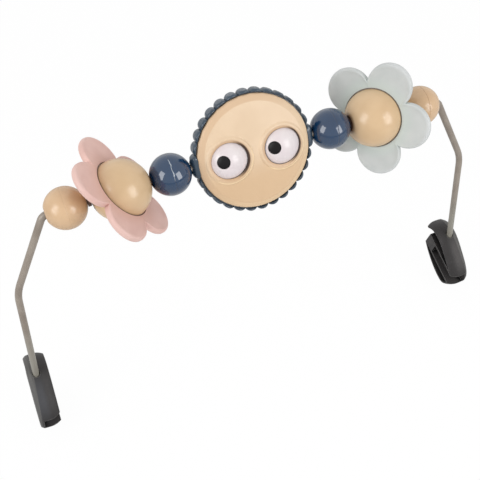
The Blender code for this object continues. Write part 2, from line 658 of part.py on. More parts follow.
def make_face(skin, navy, sleeve_material, white, black, screw_material):
    axle = add_empty("face_axis", bar_frame(0.0, -FACE_TILT))
    rod_bow = RIM_BOSS_REACH ** 2 / (2 * ARC_RADIUS)
    inner_bore = ROD_BORE_RADIUS + rod_bow
    sleeve_half = RIM_INNER_RADIUS - CLEARANCE
    sleeve_bore = FACE_SLEEVE_RADIUS - FACE_SLEEVE_WALL
    wide = FACE_SLEEVE_RADIUS + CLEARANCE
    far = RIM_BOSS_REACH + OVERRUN
    step_profile = [(0, -far), (inner_bore, -far), (inner_bore, -RIM_INNER_RADIUS),
                    (wide, -RIM_INNER_RADIUS), (wide, RIM_INNER_RADIUS),
                    (inner_bore, RIM_INNER_RADIUS), (inner_bore, far), (0, far)]
    stepped_bore = add_mesh("face_bore", *turned(step_profile, TUBE_SIDES, "X"), axle)
    seats = []
    for side_name, offset in (("left", -EYE_OFFSET), ("right", EYE_OFFSET)):
        radius = EYE_RADIUS + EYE_SEAT_GAP
        arc = ball_arc(radius, -radius, radius, EYE_RINGS)
        arc[0], arc[-1] = (0, -radius), (0, radius)
        spot = add_empty("eye_seat_" + side_name + "_spot", Matrix.Translation((offset, 0, 0)), axle)
        seats.append(add_mesh("eye_seat_" + side_name, *turned(arc, EYE_SIDES, "X"), spot))
    pilot_radius = SCREW_SHANK_RADIUS + CLEARANCE
    pilot_end = SCREW_REACH + CLEARANCE
    pilots = at_screws("pilot_holes", [(0, -OVERRUN), (pilot_radius, -OVERRUN),
                                       (pilot_radius, pilot_end), (0, pilot_end)], axle)
    head_radius = SCREW_HEAD_RADIUS + CLEARANCE
    outside = -FACE_CROWN_HEIGHT - OVERRUN
    counterbores = at_screws("counterbores", [
        (0, OVERRUN), (pilot_radius, OVERRUN), (pilot_radius, -SCREW_SEAT_HEIGHT),
        (head_radius, -SCREW_SEAT_HEIGHT), (head_radius, outside), (0, outside)], axle)
    make_face_shell("face_front", 1, axle, [stepped_bore] + seats + [pilots], skin)
    make_face_shell("face_back", -1, axle, [stepped_bore] + seats + [counterbores], skin)
    make_rim(axle, stepped_bore, navy)
    profile = [(sleeve_bore, -sleeve_half), (FACE_SLEEVE_RADIUS, -sleeve_half),
               (FACE_SLEEVE_RADIUS, sleeve_half), (sleeve_bore, sleeve_half)]
    add_mesh("face_sleeve", *turned(profile, TUBE_SIDES, "X"), axle, sleeve_material)
    for number, (x, z) in enumerate(screw_places(), 1):
        make_screw("face_screw_%d" % number, x, z, axle, screw_material)
    make_eye("left", -EYE_OFFSET, LEFT_GAZE_SIDE, axle, white, black)
    make_eye("right", EYE_OFFSET, RIGHT_GAZE_SIDE, axle, white, black)


# Clip outline: an oval that leans towards the child at its foot, drawn in by a margin
# and fuller in front. Points run from its top down its front and up its back, as Y and Z.
def clip_outline(margin):
    down = Vector((-math.sin(CLIP_LEAN), -math.cos(CLIP_LEAN)))
    back = Vector((math.cos(CLIP_LEAN), -math.sin(CLIP_LEAN)))
    centre = Vector((CLIP_CENTRE_BACK, -CLIP_CENTRE_BELOW))
    outline = []
    for step in range(2 * CLIP_STEPS):
        turn = math.pi * step / CLIP_STEPS
        in_front = step <= CLIP_STEPS
        bulge = CLIP_FRONT_BULGE if in_front else CLIP_BACK_BULGE
        power = CLIP_FRONT_FULLNESS_SHARE if in_front else 1.0
        along = math.copysign(abs(math.cos(turn)) ** power, math.cos(turn))
        across = math.copysign(abs(math.sin(turn)) ** power, math.sin(turn))
        place = centre - down * (CLIP_HALF_LENGTH - margin) * along - back * (bulge - margin) * across
        outline.append((place.x, place.y))
    return outline


# A slanted band along the channel's direction. Along is measured forward from the rod,
# above is measured square to the channel from its middle.
def channel_band(low, high, back, front):
    forward = Vector((-math.cos(CHANNEL_DROP), -math.sin(CHANNEL_DROP)))
    upward = Vector((-math.sin(CHANNEL_DROP), math.cos(CHANNEL_DROP)))
    corners = [(back, low), (front, low), (front, high), (back, high)]
    places = [forward * along + upward * above for along, above in corners]
    return [(place.x, place.y) for place in places]


# The clip's own frame: X outward, Y back and Z up, with its origin on the rod's line
def clip_frame(side):
    place = Matrix.Translation((side * lower_leg_point(0).x, 0, 0))
    tilt = Matrix.Rotation(-side * LOWER_LEG_SPLAY, 4, "Y")
    return place @ tilt @ Matrix.Rotation(-side * CLIP_TOE_IN, 4, "Z")


# How far the outline is drawn in at a share of the clip's width from its inner side
def crown_margin(share):
    if share < CLIP_RIDGE_SHARE:
        return CLIP_INNER_CROWN * (1 - share / CLIP_RIDGE_SHARE) ** 2
    return CLIP_OUTER_CROWN * ((share - CLIP_RIDGE_SHARE) / (1 - CLIP_RIDGE_SHARE)) ** 3


def make_clip(side_name, side, material):
    name = "clip_" + side_name
    inner, outer = -CLIP_INNER_FROM_ROD, CLIP_WIDTH - CLIP_INNER_FROM_ROD
    frame = add_empty(name + "_frame", clip_frame(side))

    def solid(part, levels, smooth=False):
        points, faces = lofted(levels)
        points = [(side * x, y, z) for x, y, z in points]
        return add_mesh(name + part, points, faces, frame, None if part else material, smooth)

    def prism(part, outline, low, high):
        return solid(part, [(low, outline), (high, outline)])

    levels = [(inner + CLIP_WIDTH * share, clip_outline(crown_margin(share)))
              for share in CLIP_LEVEL_SHARES]
    body = solid("", levels, True)
    reach = 2 * CLIP_HALF_LENGTH
    half_gap = CHANNEL_GAP / 2
    plate = half_gap + CLIP_PLATE_WALL
    mouth = inner - OVERRUN
    floor = -ROD_RADIUS - CLEARANCE - CLIP_SOCKET_WALL
    heel = prism("_heel", channel_band(-reach, plate + CLIP_MOUTH_GAP, -reach, -CLIP_HEEL_FROM_ROD),
                 mouth, outer + OVERRUN)
    boolean(body, heel)
    for part, low, high in (("_upper", plate, reach), ("_lower", -reach, -plate)):
        pocket = prism(part + "_pocket", clip_outline(CLIP_INNER_CROWN + CLIP_SHELL_WALL), mouth, floor)
        keep = prism(part + "_side", channel_band(low, high, -reach, reach),
                     mouth - OVERRUN, floor + OVERRUN)
        boolean(pocket, keep, "INTERSECT")
        boolean(body, pocket)
    channel = prism("_channel", channel_band(-half_gap, half_gap, -CHANNEL_BACK_FROM_ROD, reach),
                    mouth, outer - CLIP_OUTER_WALL)
    boolean(body, channel)
    make_socket(name, side, body)


# The hole that takes the rod's end, in line with the lower leg
def make_socket(name, side, body):
    end = rod_end() + lower_leg_direction() * CLEARANCE
    length = SOCKET_DEPTH + CLIP_HALF_LENGTH
    start = end - lower_leg_direction() * length
    place = Matrix.Translation((side * start.x, 0, start.z))
    turn = Matrix.Rotation(side * (math.pi - LOWER_LEG_SPLAY), 4, "Y")
    spot = add_empty(name + "_socket_axis", place @ turn)
    points, faces = turned_cylinder(ROD_RADIUS + CLEARANCE, 0, length, TUBE_SIDES, "Z")
    boolean(body, add_mesh(name + "_socket", points, faces, spot))


def build():
    clear_scene()
    steel = make_material("painted steel", (0.36, 0.32, 0.27), 0.38, 0.6)
    beige = make_material("beige plastic", (0.68, 0.49, 0.30), 0.45)
    skin = make_material("pale beige plastic", (0.80, 0.62, 0.42), 0.5)
    navy = make_material("navy plastic", (0.05, 0.10, 0.17), 0.25)
    pink = make_material("pink plastic", (0.64, 0.40, 0.36), 0.6)
    mint = make_material("mint plastic", (0.56, 0.62, 0.59), 0.6)
    white = make_material("white plastic", (0.85, 0.83, 0.83), 0.15)
    black = make_material("black plastic", (0.02, 0.02, 0.02), 0.1)
    clip_grey = make_material("dark grey plastic", (0.09, 0.09, 0.09), 0.6)
    nylon = make_material("dark nylon", (0.06, 0.05, 0.05), 0.5)
    plated = make_material("plated steel", (0.6, 0.6, 0.6), 0.3, 1.0)

    make_rod(steel)
    for side_name, side in (("left", -1), ("right", 1)):
        make_bead("end_bead_" + side_name, side * END_BEAD_ALONG, beige, open_end=True)
        make_bead("blue_bead_" + side_name, side * BLUE_BEAD_ALONG, navy)
        make_washer("washer_" + side_name, side * WASHER_ALONG, nylon)
        make_clip(side_name, side, clip_grey)
    make_flower("pink", -FLOWER_ALONG, PINK_SPIN, PINK_PETAL_TURN, (pink, beige, nylon))
    make_flower("mint", FLOWER_ALONG, MINT_SPIN, MINT_PETAL_TURN, (mint, beige, nylon))
    make_face(skin, navy, nylon, white, black, plated)
    bpy.context.view_layer.update()


build()
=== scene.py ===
import json
from math import asin, copysign, cos, exp, hypot, pi, radians, sin, sqrt, tan, tau

import bmesh
import bpy
from mathutils import Matrix, Vector


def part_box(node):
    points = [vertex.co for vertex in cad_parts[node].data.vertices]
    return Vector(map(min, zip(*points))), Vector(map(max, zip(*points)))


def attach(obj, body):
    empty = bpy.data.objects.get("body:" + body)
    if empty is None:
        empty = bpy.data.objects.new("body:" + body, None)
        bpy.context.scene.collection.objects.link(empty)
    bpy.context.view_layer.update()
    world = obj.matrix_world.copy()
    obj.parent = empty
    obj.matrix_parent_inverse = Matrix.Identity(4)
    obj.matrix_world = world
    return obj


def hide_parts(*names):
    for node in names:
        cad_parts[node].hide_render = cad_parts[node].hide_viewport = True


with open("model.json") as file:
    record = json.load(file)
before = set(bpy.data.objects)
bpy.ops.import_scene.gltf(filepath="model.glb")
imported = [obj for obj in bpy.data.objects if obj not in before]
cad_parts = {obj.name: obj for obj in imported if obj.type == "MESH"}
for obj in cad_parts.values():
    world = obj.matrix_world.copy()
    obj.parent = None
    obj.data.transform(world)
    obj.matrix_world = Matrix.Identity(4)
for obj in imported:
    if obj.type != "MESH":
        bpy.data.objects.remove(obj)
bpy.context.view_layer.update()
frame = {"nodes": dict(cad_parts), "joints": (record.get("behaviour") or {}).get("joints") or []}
joints = {joint["child"]: joint for joint in frame["joints"]}
mm = 0.001
gap = 0.3 * mm  # left between pieces that touch
overrun = 2 * mm  # how far a cutter reaches past what it cuts
signOf = {"left": -1, "right": 1}
# How many sides turned shapes get, by what they are
sidesOf = {"well": 32, "wireHole": 40, "tube": 48, "hole": 64, "socket": 72, "ball": 96}


# Shader maths: a Wire is one output socket, and sums on wires add the nodes
class Wire:
    def __init__(self, owner, socket):
        self.owner, self.socket = owner, socket

    def combine(self, operation, first, second):
        kinds = [item.socket.type for item in (first, second) if isinstance(item, Wire)]
        if "RGBA" in kinds:
            return self.owner.node("ShaderNodeMix", {"data_type": "RGBA", "blend_type": operation},
                                   {"Factor_Float": 1.0, "A_Color": first, "B_Color": second},
                                   "Result_Color")
        kind = "ShaderNodeVectorMath" if "VECTOR" in kinds else "ShaderNodeMath"
        return self.owner.node(kind, {"operation": operation}, {0: first, 1: second})

    def __add__(self, other):
        return self.combine("ADD", self, other)

    __radd__ = __add__

    def __sub__(self, other):
        return self.combine("SUBTRACT", self, other)

    def __rsub__(self, other):
        return self.combine("SUBTRACT", other, self)

    def __mul__(self, other):
        return self.combine("MULTIPLY", self, other)

    __rmul__ = __mul__

    def __truediv__(self, other):
        return self.combine("DIVIDE", self, other)

    def __rtruediv__(self, other):
        return self.combine("DIVIDE", other, self)

    def __pow__(self, other):
        return self.combine("POWER", self, other)

    def size(self):
        return self.owner.node("ShaderNodeMath", {"operation": "ABSOLUTE"}, {0: self})

    def sign(self):
        return self.owner.node("ShaderNodeMath", {"operation": "SIGN"}, {0: self})

    def ramp(self, low, high):  # smooth step from 0 at low to 1 at high
        return self.owner.node("ShaderNodeMapRange", {"interpolation_type": "SMOOTHSTEP"},
                               {0: self, 1: low, 2: high, 3: 0.0, 4: 1.0})


class NodeTree:
    def __init__(self, holder):  # a material or the world
        holder.use_nodes = True
        self.tree = holder.node_tree

    def node(self, kind, settings=None, inputs=None, output=0):
        made = self.tree.nodes.new(kind)
        for key, value in (settings or {}).items():
            setattr(made, key, value)
        byIdentifier = {socket.identifier: socket for socket in made.inputs}
        for key, value in (inputs or {}).items():
            socket = made.inputs[key] if isinstance(key, int) else byIdentifier[key]
            if isinstance(value, Wire):
                self.tree.links.new(value.socket, socket)
            elif socket.type == "RGBA" and len(value) == 3:
                socket.default_value = (*value, 1.0)
            else:
                socket.default_value = value
        if isinstance(output, int):
            return Wire(self, made.outputs[output])
        return Wire(self, {socket.identifier: socket for socket in made.outputs}[output])


# One material. Its place is the piece's own, from before the piece was turned onto the bar.
class Paint(NodeTree):
    def __init__(self, name, roughness=0.4, metallic=0.0, onNode=False):
        self.material = bpy.data.materials.new(name)
        super().__init__(self.material)
        self.shader = self.tree.nodes["Principled BSDF"]
        self.fix("Roughness", roughness)
        self.fix("Metallic", metallic)
        if onNode:  # for meshes that keep their CAD shape, and the floor
            self.place = self.node("ShaderNodeTexCoord", output="Object")
        else:
            self.place = self.node("ShaderNodeAttribute", {"attribute_name": "ownPlace"}, output="Vector")

    def fix(self, socketName, value):  # one value all over the surface
        self.shader.inputs[socketName].default_value = value

    def feed(self, socketName, wire):
        self.tree.links.new(wire.socket, self.shader.inputs[socketName])

    def noise(self, scale, detail=3.0, roughness=0.5, stretch=None):
        place = self.place * stretch if stretch else self.place
        return self.node("ShaderNodeTexNoise", None,
                         {"Vector": place, "Scale": scale, "Detail": detail, "Roughness": roughness})

    def part(self, axis):  # one coordinate, in millimetres
        return self.node("ShaderNodeSeparateXYZ", None, {0: self.place}, "XYZ".index(axis)) / mm

    def distance(self, vector):  # its length, in millimetres
        return self.node("ShaderNodeVectorMath", {"operation": "LENGTH"}, {0: vector}, "Value") / mm

    def reach(self, spread):  # distance from the origin, with each axis stretched
        return self.distance(self.place * spread)

    def awayFrom(self, axis):  # distance from a line through the origin
        return self.distance(self.node("ShaderNodeVectorMath", {"operation": "CROSS_PRODUCT"},
                                       {0: self.place, 1: axis}))

    def blend(self, first, second, factor):
        return self.node("ShaderNodeMix", {"data_type": "RGBA"},
                         {"Factor_Float": factor, "A_Color": first, "B_Color": second}, "Result_Color")

    # A shade is a colour, where it starts along the wire, where it is full, and how strong it gets
    def shade(self, look, wire, *masks):
        tint, start, full, share = look
        factor = wire.ramp(start, full)
        for mask in masks:
            factor = factor * mask
        before = Wire(self, self.shader.inputs["Base Color"].links[0].from_socket)
        self.feed("Base Color", self.blend(before, tint, factor * share))

    def emboss(self, height, depth, rounding=0.0):  # rounding softens the sharp edges
        inputs = {"Height": height, "Distance": depth, "Strength": 1.0}
        if rounding:
            inputs["Normal"] = self.node("ShaderNodeBevel", {"samples": 6}, {"Radius": rounding})
        self.feed("Normal", self.node("ShaderNodeBump", None, inputs))


def tone(red, green, blue):  # a screen colour, 0 to 255, as the linear colour that shaders take
    def linear(level):
        share = level / 255
        return share / 12.92 if share <= 0.04045 else ((share + 0.055) / 1.055) ** 2.4
    return linear(red), linear(green), linear(blue)


# What all moulded plastic here has in common; each piece's own look changes some of it
plastic = {
    "roughness": 0.4, "swing": 0.08, "grainSwing": 0.04, "patchScale": 45.0, "patchSpan": (0.3, 0.7),
    "patchRelief": 0.6, "grainScale": 1500.0, "grainDepth": 0.02 * mm, "speckScale": 700.0,
    "speckSpan": (0.62, 0.72), "speckShare": 0.1, "specular": 0.5, "coat": 0.0, "coatRoughness": 0.1,
    "coatIOR": 1.55, "rounding": 0.0}


def mouldedPlastic(name, changes):
    look = {**plastic, **changes}
    paint = Paint(name, look["roughness"])
    paint.fix("Specular IOR Level", look["specular"])
    paint.fix("Coat Weight", look["coat"])
    paint.fix("Coat Roughness", look["coatRoughness"])
    paint.fix("Coat IOR", look["coatIOR"])
    patches = paint.noise(look["patchScale"], detail=2.0)
    grain = paint.noise(look["grainScale"], roughness=0.6)
    speck = paint.noise(look["speckScale"], detail=1.0).ramp(*look["speckSpan"])
    colour = paint.blend(look["dark"], look["light"], patches.ramp(*look["patchSpan"]))
    paint.feed("Base Color", paint.blend(colour, look["speck"], speck * look["speckShare"]))
    lowest = look["roughness"] - look["swing"] / 2
    paint.feed("Roughness", patches * look["swing"] + grain * look["grainSwing"] + lowest)
    paint.emboss(grain + patches * look["patchRelief"], look["grainDepth"], look["rounding"])
    return paint


def addObject(name, data, place):
    added = bpy.data.objects.new(name, data)
    bpy.context.scene.collection.objects.link(added)
    added.matrix_world = place
    return added


def makePiece(name, points, faces, place, smoothAngle=40.0):
    mesh = bpy.data.meshes.new(name)
    mesh.from_pydata([tuple(point) for point in points], [], faces)
    work = bmesh.new()
    work.from_mesh(mesh)
    bmesh.ops.recalc_face_normals(work, faces=work.faces)
    work.to_mesh(mesh)
    work.free()
    mesh.shade_smooth()
    mesh.set_sharp_from_angle(angle=radians(smoothAngle))
    return addObject(name, mesh, place)


def cover(mesh, paint):
    mesh.materials.clear()
    mesh.materials.append(paint.material)


# Turns the mesh itself, so that the piece's box stays tight, and keeps each point's own
# place for the paint. Then come the body it rides on, the nodes it stands for and a slot name, which is not
# used.
def settle(piece, body, paint, slotName, *nodes):
    mesh, place = piece.data, piece.matrix_world.copy()
    ownPlace = mesh.attributes.new("ownPlace", "FLOAT_VECTOR", "POINT")
    ownPlace.data.foreach_set("vector", [value for vertex in mesh.vertices for value in vertex.co])
    mesh.transform(place.to_quaternion().to_matrix().to_4x4())
    piece.matrix_world = Matrix.Translation(place.translation)
    cover(mesh, paint)
    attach(piece, body)
    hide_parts(*nodes)


def carve(piece, cutters, operation="DIFFERENCE", smoothAngle=40.0):  # cuts at once and drops the cutters
    for cutter in cutters:
        change = piece.modifiers.new("carve", "BOOLEAN")
        change.operation = operation
        change.solver = "EXACT"
        change.object = cutter
        bpy.context.view_layer.update()
        depsgraph = bpy.context.evaluated_depsgraph_get()
        carved = bpy.data.meshes.new_from_object(piece.evaluated_get(depsgraph))
        piece.modifiers.clear()
        piece.data = carved
        bpy.data.objects.remove(cutter)
    piece.data.shade_smooth()
    piece.data.set_sharp_from_angle(angle=radians(smoothAngle))


def turned(profile, sides, axis="X"):  # closed (radius, height) outline spun round one axis
    places = {"X": lambda r, h, c, s: (h, r * c, r * s),
              "Y": lambda r, h, c, s: (r * c, -h, r * s),
              "Z": lambda r, h, c, s: (r * c, r * s, h)}[axis]
    points, rows = [], []
    for radius, height in profile:
        if radius == 0:
            rows.append([len(points)] * sides)
            points.append(places(0, height, 1, 0))
            continue
        rows.append(list(range(len(points), len(points) + sides)))
        for step in range(sides):
            turn = tau * step / sides
            points.append(places(radius, height, cos(turn), sin(turn)))
    faces = []
    for row, following in zip(rows, rows[1:] + rows[:1]):
        for step in range(sides):
            after = (step + 1) % sides
            corners = list(dict.fromkeys([row[step], row[after], following[after], following[step]]))
            if len(corners) > 2:
                faces.append(corners)
    return points, faces


def turnedPiece(name, profile, size, place, axis="X"):
    return makePiece(name, *turned(profile, sidesOf[size], axis), place)


def rowSkin(rows, looped=False):  # closed rows of points, joined into a ring or with flat ends
    count = len(rows[0])
    points = [point for row in rows for point in row]
    faces = [] if looped else [list(range(count)), list(range(len(points) - count, len(points)))]
    for level in range(len(rows) if looped else len(rows) - 1):
        here, there = level * count, (level + 1) % len(rows) * count
        for step in range(count):
            after = (step + 1) % count
            faces.append([here + step, here + after, there + after, there + step])
    return points, faces


def softened(line, rounds=2):  # cuts the corners of an open line and keeps its ends
    for _ in range(rounds):
        cut = [line[0]]
        for (ax, ay), (bx, by) in zip(line, line[1:]):
            cut += [(ax * 0.75 + bx * 0.25, ay * 0.75 + by * 0.25),
                    (ax * 0.25 + bx * 0.75, ay * 0.25 + by * 0.75)]
        line = cut + [line[-1]]
    return line


def ballArc(radius, low, high, steps):
    start, end = asin(low / radius), asin(high / radius)
    turns = [start + (end - start) * step / steps for step in range(steps + 1)]
    return [(radius * cos(turn), radius * sin(turn)) for turn in turns]


def ballCap(radius, low, steps):  # up to the top of the ball
    return ballArc(radius, low, radius, steps)[:-1] + [(0, radius)]


def mirrored(half):
    return [(radius, -height) for radius, height in half] + half[::-1]


def seatHeight(radius, ring):
    return sqrt(radius ** 2 - ring ** 2)


def smoothStep(value, low, high):
    share = min(max((value - low) / (high - low), 0.0), 1.0)
    return share * share * (3 - 2 * share)


def axesMatrix(along, across):
    return Matrix((along, across, along.cross(across))).transposed().to_4x4()


def barFrame(body, spin=0.0):  # local +X runs along the bar, away from its middle
    joint = joints[body]
    side = -1 if joint["pos_m"][0] < 0 else 1
    turn = axesMatrix(Vector(joint["axis"]) * side, Vector((0, side, 0)))
    return Matrix.Translation(joint["pos_m"]) @ turn @ Matrix.Rotation(spin, 4, "X")


print("wire")
rod = {
    "radius": 3.0 * mm, "sides": 32, "barHeight": 223.3 * mm, "halfSpan": 172.5 * mm, "rise": 5.2 * mm,
    "cornerBend": 8.0 * mm, "kneeBend": 60.0 * mm, "kneeDrop": 76.2 * mm, "upperSplay": radians(26.8),
    "lowerSplay": radians(5.9), "endRounding": 0.9 * mm, "running": 0.4 * mm, "barSteps": 24,
    "cornerSteps": 16, "kneeSteps": 20, "endSteps": 4,
    "look": {
        "dark": tone(136, 125, 114), "light": tone(153, 143, 132), "speck": tone(170, 162, 152),
        "roughness": 0.36, "grainScale": 900.0, "grainDepth": 0.03 * mm},
    "metallic": 0.12, "foot": (tone(150, 148, 138), 110.0, 50.0, 0.8)}
arcRadius = (rod["halfSpan"] ** 2 + rod["rise"] ** 2) / (2 * rod["rise"])
boreRadius = rod["radius"] + rod["running"]


def wirePaint():  # warm grey enamel, a little greener down by the clips
    paint = mouldedPlastic("wirePaint", rod["look"])
    paint.fix("Metallic", rod["metallic"])
    paint.shade(rod["foot"], paint.part("Z"))
    return paint


def bend(corner, before, after, radius, steps):
    reach = radius * tan(before.angle(after) / 2)
    side = (after - before * after.dot(before)).normalized()
    centre = corner - before * reach + side * radius
    turns = [before.angle(after) * step / steps for step in range(steps + 1)]
    return [centre - side * radius * cos(t) + before * radius * sin(t) for t in turns]


def rodRoute():
    corner = Vector((rod["halfSpan"], 0, rod["barHeight"]))
    knee = corner + Vector((rod["kneeDrop"] * tan(rod["upperSplay"]), 0, -rod["kneeDrop"]))
    upper = (knee - corner).normalized()
    lower = Vector((sin(rod["lowerSplay"]), 0, -cos(rod["lowerSplay"])))
    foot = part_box("rod")[0].z + rod["radius"] * sin(rod["lowerSplay"])
    end = knee + lower * (knee.z - foot) / cos(rod["lowerSplay"])
    slope = asin(rod["halfSpan"] / arcRadius)
    bar = Vector((cos(slope), 0, -sin(slope)))
    lastTurn = slope - rod["cornerBend"] * tan(bar.angle(upper) / 2) / arcRadius
    top = rod["barHeight"] + rod["rise"]
    half = []
    for step in range(rod["barSteps"] + 1):
        turn = lastTurn * step / rod["barSteps"]
        half.append(Vector((arcRadius * sin(turn), 0, top - arcRadius * (1 - cos(turn)))))
    half += bend(corner, bar, upper, rod["cornerBend"], rod["cornerSteps"])[1:]
    half += bend(knee, upper, lower, rod["kneeBend"], rod["kneeSteps"])
    half.append(end)
    return [Vector((-place.x, 0, place.z)) for place in reversed(half[1:])] + half


def makeRod():
    route, rounding, radius = rodRoute(), rod["endRounding"], rod["radius"]
    rings = []  # place, forward and radius
    for index, place in enumerate(route):
        forward = (route[min(index + 1, len(route) - 1)] - route[max(index - 1, 0)]).normalized()
        rings.append((place, forward, radius))
    quarter = [pi / 2 * step / rod["endSteps"] for step in range(rod["endSteps"], -1, -1)]
    for inward, at in ((1, 0), (-1, -1)):
        place, forward, _ = rings[at]
        end = [(place + forward * inward * rounding * (1 - sin(t)), forward,
                radius - rounding * (1 - cos(t))) for t in quarter]
        rings = end + rings[1:] if at == 0 else rings[:-1] + end[::-1]
    turns = [tau * step / rod["sides"] for step in range(rod["sides"])]
    back, rows = Vector((0, 1, 0)), []
    for place, forward, size in rings:
        across = back.cross(forward)
        rows.append([place + across * size * cos(turn) + back * size * sin(turn) for turn in turns])
    piece = makePiece("bentWire", *rowSkin(rows), Matrix.Identity(4))
    settle(piece, "frame", wirePaint(), "painted_steel", "rod")


makeRod()

print("beads")
bead = {
    "radius": 17.0 * mm, "endFlat": 4.3 * mm, "mouth": 6.2 * mm, "mouthDepth": 5.0 * mm,
    "rounding": 0.5 * mm, "grooveDepth": 0.14 * mm, "grooveHalf": 0.35 * mm, "arcSteps": 26,
    "grooveShares": (-2, -1.5, -1, -0.6, -0.3, 0, 0.3, 0.6, 1, 1.5, 2),
    "beige": {
        "dark": tone(204, 170, 132), "light": tone(213, 180, 143), "speck": tone(188, 152, 112),
        "roughness": 0.23, "specular": 0.6},
    "navy": {
        "dark": tone(8, 46, 80), "light": tone(16, 54, 88), "speck": tone(38, 73, 105), "roughness": 0.24,
        "swing": 0.05, "grainDepth": 0.006 * mm, "specular": 0.1, "coat": 1.0, "coatRoughness": 0.045,
        "coatIOR": 1.66},
    "seams": {
        "left": (tone(170, 132, 96), 0.5, 0.15, 0.12), "right": (tone(170, 132, 96), 0.5, 0.15, 0.6),
        "navy": (tone(26, 40, 60), 0.5, 0.15, 0.5)},
    "flash": (tone(196, 206, 214), 0.36, 0.1, 0.9), "flashUp": (9.0, 10.4), "flashFront": (0.2, 3.0),
    "wanderScale": 260.0, "wander": 2.6}
washer = {"outer": 4.8 * mm, "inner": 3.3 * mm, "half": 1.4 * mm, "edge": 0.35 * mm}
nylon = {
    "dark": tone(84, 60, 46), "light": tone(100, 74, 58), "speck": tone(118, 92, 76), "roughness": 0.45,
    "tubePatches": 60.0}


def seamed(paint, seam, flashed=False):  # the line where the mould halves met
    paint.shade(seam, paint.part("X").size())
    if flashed:  # a pale crooked thread of flash, from the front to the top
        wander = (paint.noise(bead["wanderScale"], detail=2.0) - 0.5) * bead["wander"]
        paint.shade(bead["flash"], (paint.part("X") + wander).size(),
                    paint.part("Z").ramp(*bead["flashUp"]), paint.part("Y").ramp(*bead["flashFront"]))


def makeBead(body, paint, slotName, openEnd):
    radius, inner, edge = bead["radius"], seatHeight(bead["radius"], bead["endFlat"]), bead["rounding"]
    outer = seatHeight(radius, bead["mouth"]) if openEnd else inner
    groove = []
    for share in bead["grooveShares"]:
        height, depth = share * bead["grooveHalf"], bead["grooveDepth"] * exp(-2 * share ** 2)
        groove.append((seatHeight(radius, height) - depth, height))
    outside = ballArc(radius, -inner, groove[0][1], bead["arcSteps"])[:-1] + groove
    outside += ballArc(radius, groove[-1][1], outer, bead["arcSteps"])[1:]
    if openEnd:
        bottom = outer - bead["mouthDepth"]
        mouth = softened([outside[-1], (bead["mouth"] - edge, outer - edge * 0.4),
                          (boreRadius + edge, bottom + edge), (boreRadius, bottom - edge)])[1:]
    else:
        mouth = [(outside[-1][0] - edge, inner + edge * 0.04), (boreRadius + edge * 0.2, inner),
                 (boreRadius, inner - edge)]
    back = [(boreRadius, -inner + edge), (boreRadius + edge * 0.2, -inner),
            (outside[0][0] - edge, -inner - edge * 0.04)]
    piece = turnedPiece(body + "_turned", outside + mouth + back, "ball", barFrame(body))
    settle(piece, body, paint, slotName, body)


def makeWasher(side, paint):
    node = "washer_" + side
    low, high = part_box(node)
    along, across = Vector(joints["end_bead_" + side]["axis"]), Vector((0, signOf[side], 0))
    place = Matrix.Translation((low + high) / 2) @ axesMatrix(along * signOf[side], across)
    outer, half, edge = washer["outer"], washer["half"], washer["edge"]
    profile = mirrored([(washer["inner"], half), (outer - edge, half),
                        (outer - edge * 0.3, half - edge * 0.3), (outer, half - edge)])
    settle(turnedPiece(node + "_turned", profile, "tube", place), "frame", paint, "dark_nylon", node)


darkNylon = mouldedPlastic("darkNylon", nylon)
for side in ("left", "right"):
    beigeBead, navyBead = [mouldedPlastic(look + "Bead_" + side, bead[look]) for look in ("beige", "navy")]
    seamed(beigeBead, bead["seams"][side])
    seamed(navyBead, bead["seams"]["navy"], side == "left")
    makeBead("end_bead_" + side, beigeBead, "beige_plastic", True)
    makeBead("blue_bead_" + side, navyBead, "navy_plastic", False)
    makeWasher(side, darkNylon)

print("flowers")
flower = {
    "ball": 24.6 * mm, "wall": 2.4 * mm, "hub": 19.0 * mm, "hubWall": 2.0 * mm, "tilt": radians(39.0),
    "sleeve": 4.5 * mm, "petals": 5, "tip": 49.8 * mm, "valley": 32.1 * mm, "hubHalf": 1.5 * mm,
    "grooveHalf": 1.2 * mm, "grooveWidth": 0.45 * mm, "grooveLean": 0.1 * mm, "stepHalf": 2.1 * mm,
    "land": 1.2 * mm, "dishInset": 6.0 * mm, "dishHalf": 2.35 * mm, "crestInset": 3.4 * mm,
    "crestHalf": 2.75 * mm, "rimInset": 1.9 * mm, "rimHalf": 2.85 * mm, "tipInset": 0.45 * mm,
    "tipShare": 0.75, "stepsPerLobe": 48, "arcSteps": 30, "innerSteps": 16, "mouth": 7.0 * mm,
    "mouthFlare": 0.4 * mm, "mouthDepth": 3.4 * mm, "edge": 0.35 * mm,
    "spin": {"mint": radians(63.2), "pink": radians(-14.5)},
    "petalTurn": {"mint": radians(57.0), "pink": radians(5.2)},
    "ballLook": {
        "dark": tone(207, 175, 135), "light": tone(215, 184, 145), "speck": tone(196, 161, 120),
        "roughness": 0.23, "specular": 0.6},
    "look": {
        "pink": {
            "dark": tone(217, 178, 168), "light": tone(225, 188, 178), "speck": tone(230, 197, 189),
            "inner": tone(214, 173, 160), "outer": tone(227, 194, 185)},
        "mint": {
            "dark": tone(194, 198, 196), "light": tone(203, 206, 204), "speck": tone(213, 215, 214),
            "inner": tone(195, 206, 201), "outer": tone(209, 211, 212)}},
    "petal": {"roughness": 0.5, "grainDepth": 0.03 * mm, "patchScale": 60.0}, "inner": (38.0, 27.0, 0.7),
    # painted shade: a dark line down in the groove where the petals meet the ball
    "outer": (44.0, 49.5, 0.5), "creviceShade": (tone(112, 88, 68), 25.7, 25.1, 0.85),
    # painted shade: brown round the mouths of the bore
    "bore": (tone(122, 84, 56), 10.2, 7.0, 0.85)}
halfPitch = pi / flower["petals"]
lobeCentre = ((flower["tip"] ** 2 - flower["valley"] ** 2) / 2
              / (flower["tip"] - flower["valley"] * cos(halfPitch)))
lobeRadius = flower["tip"] - lobeCentre


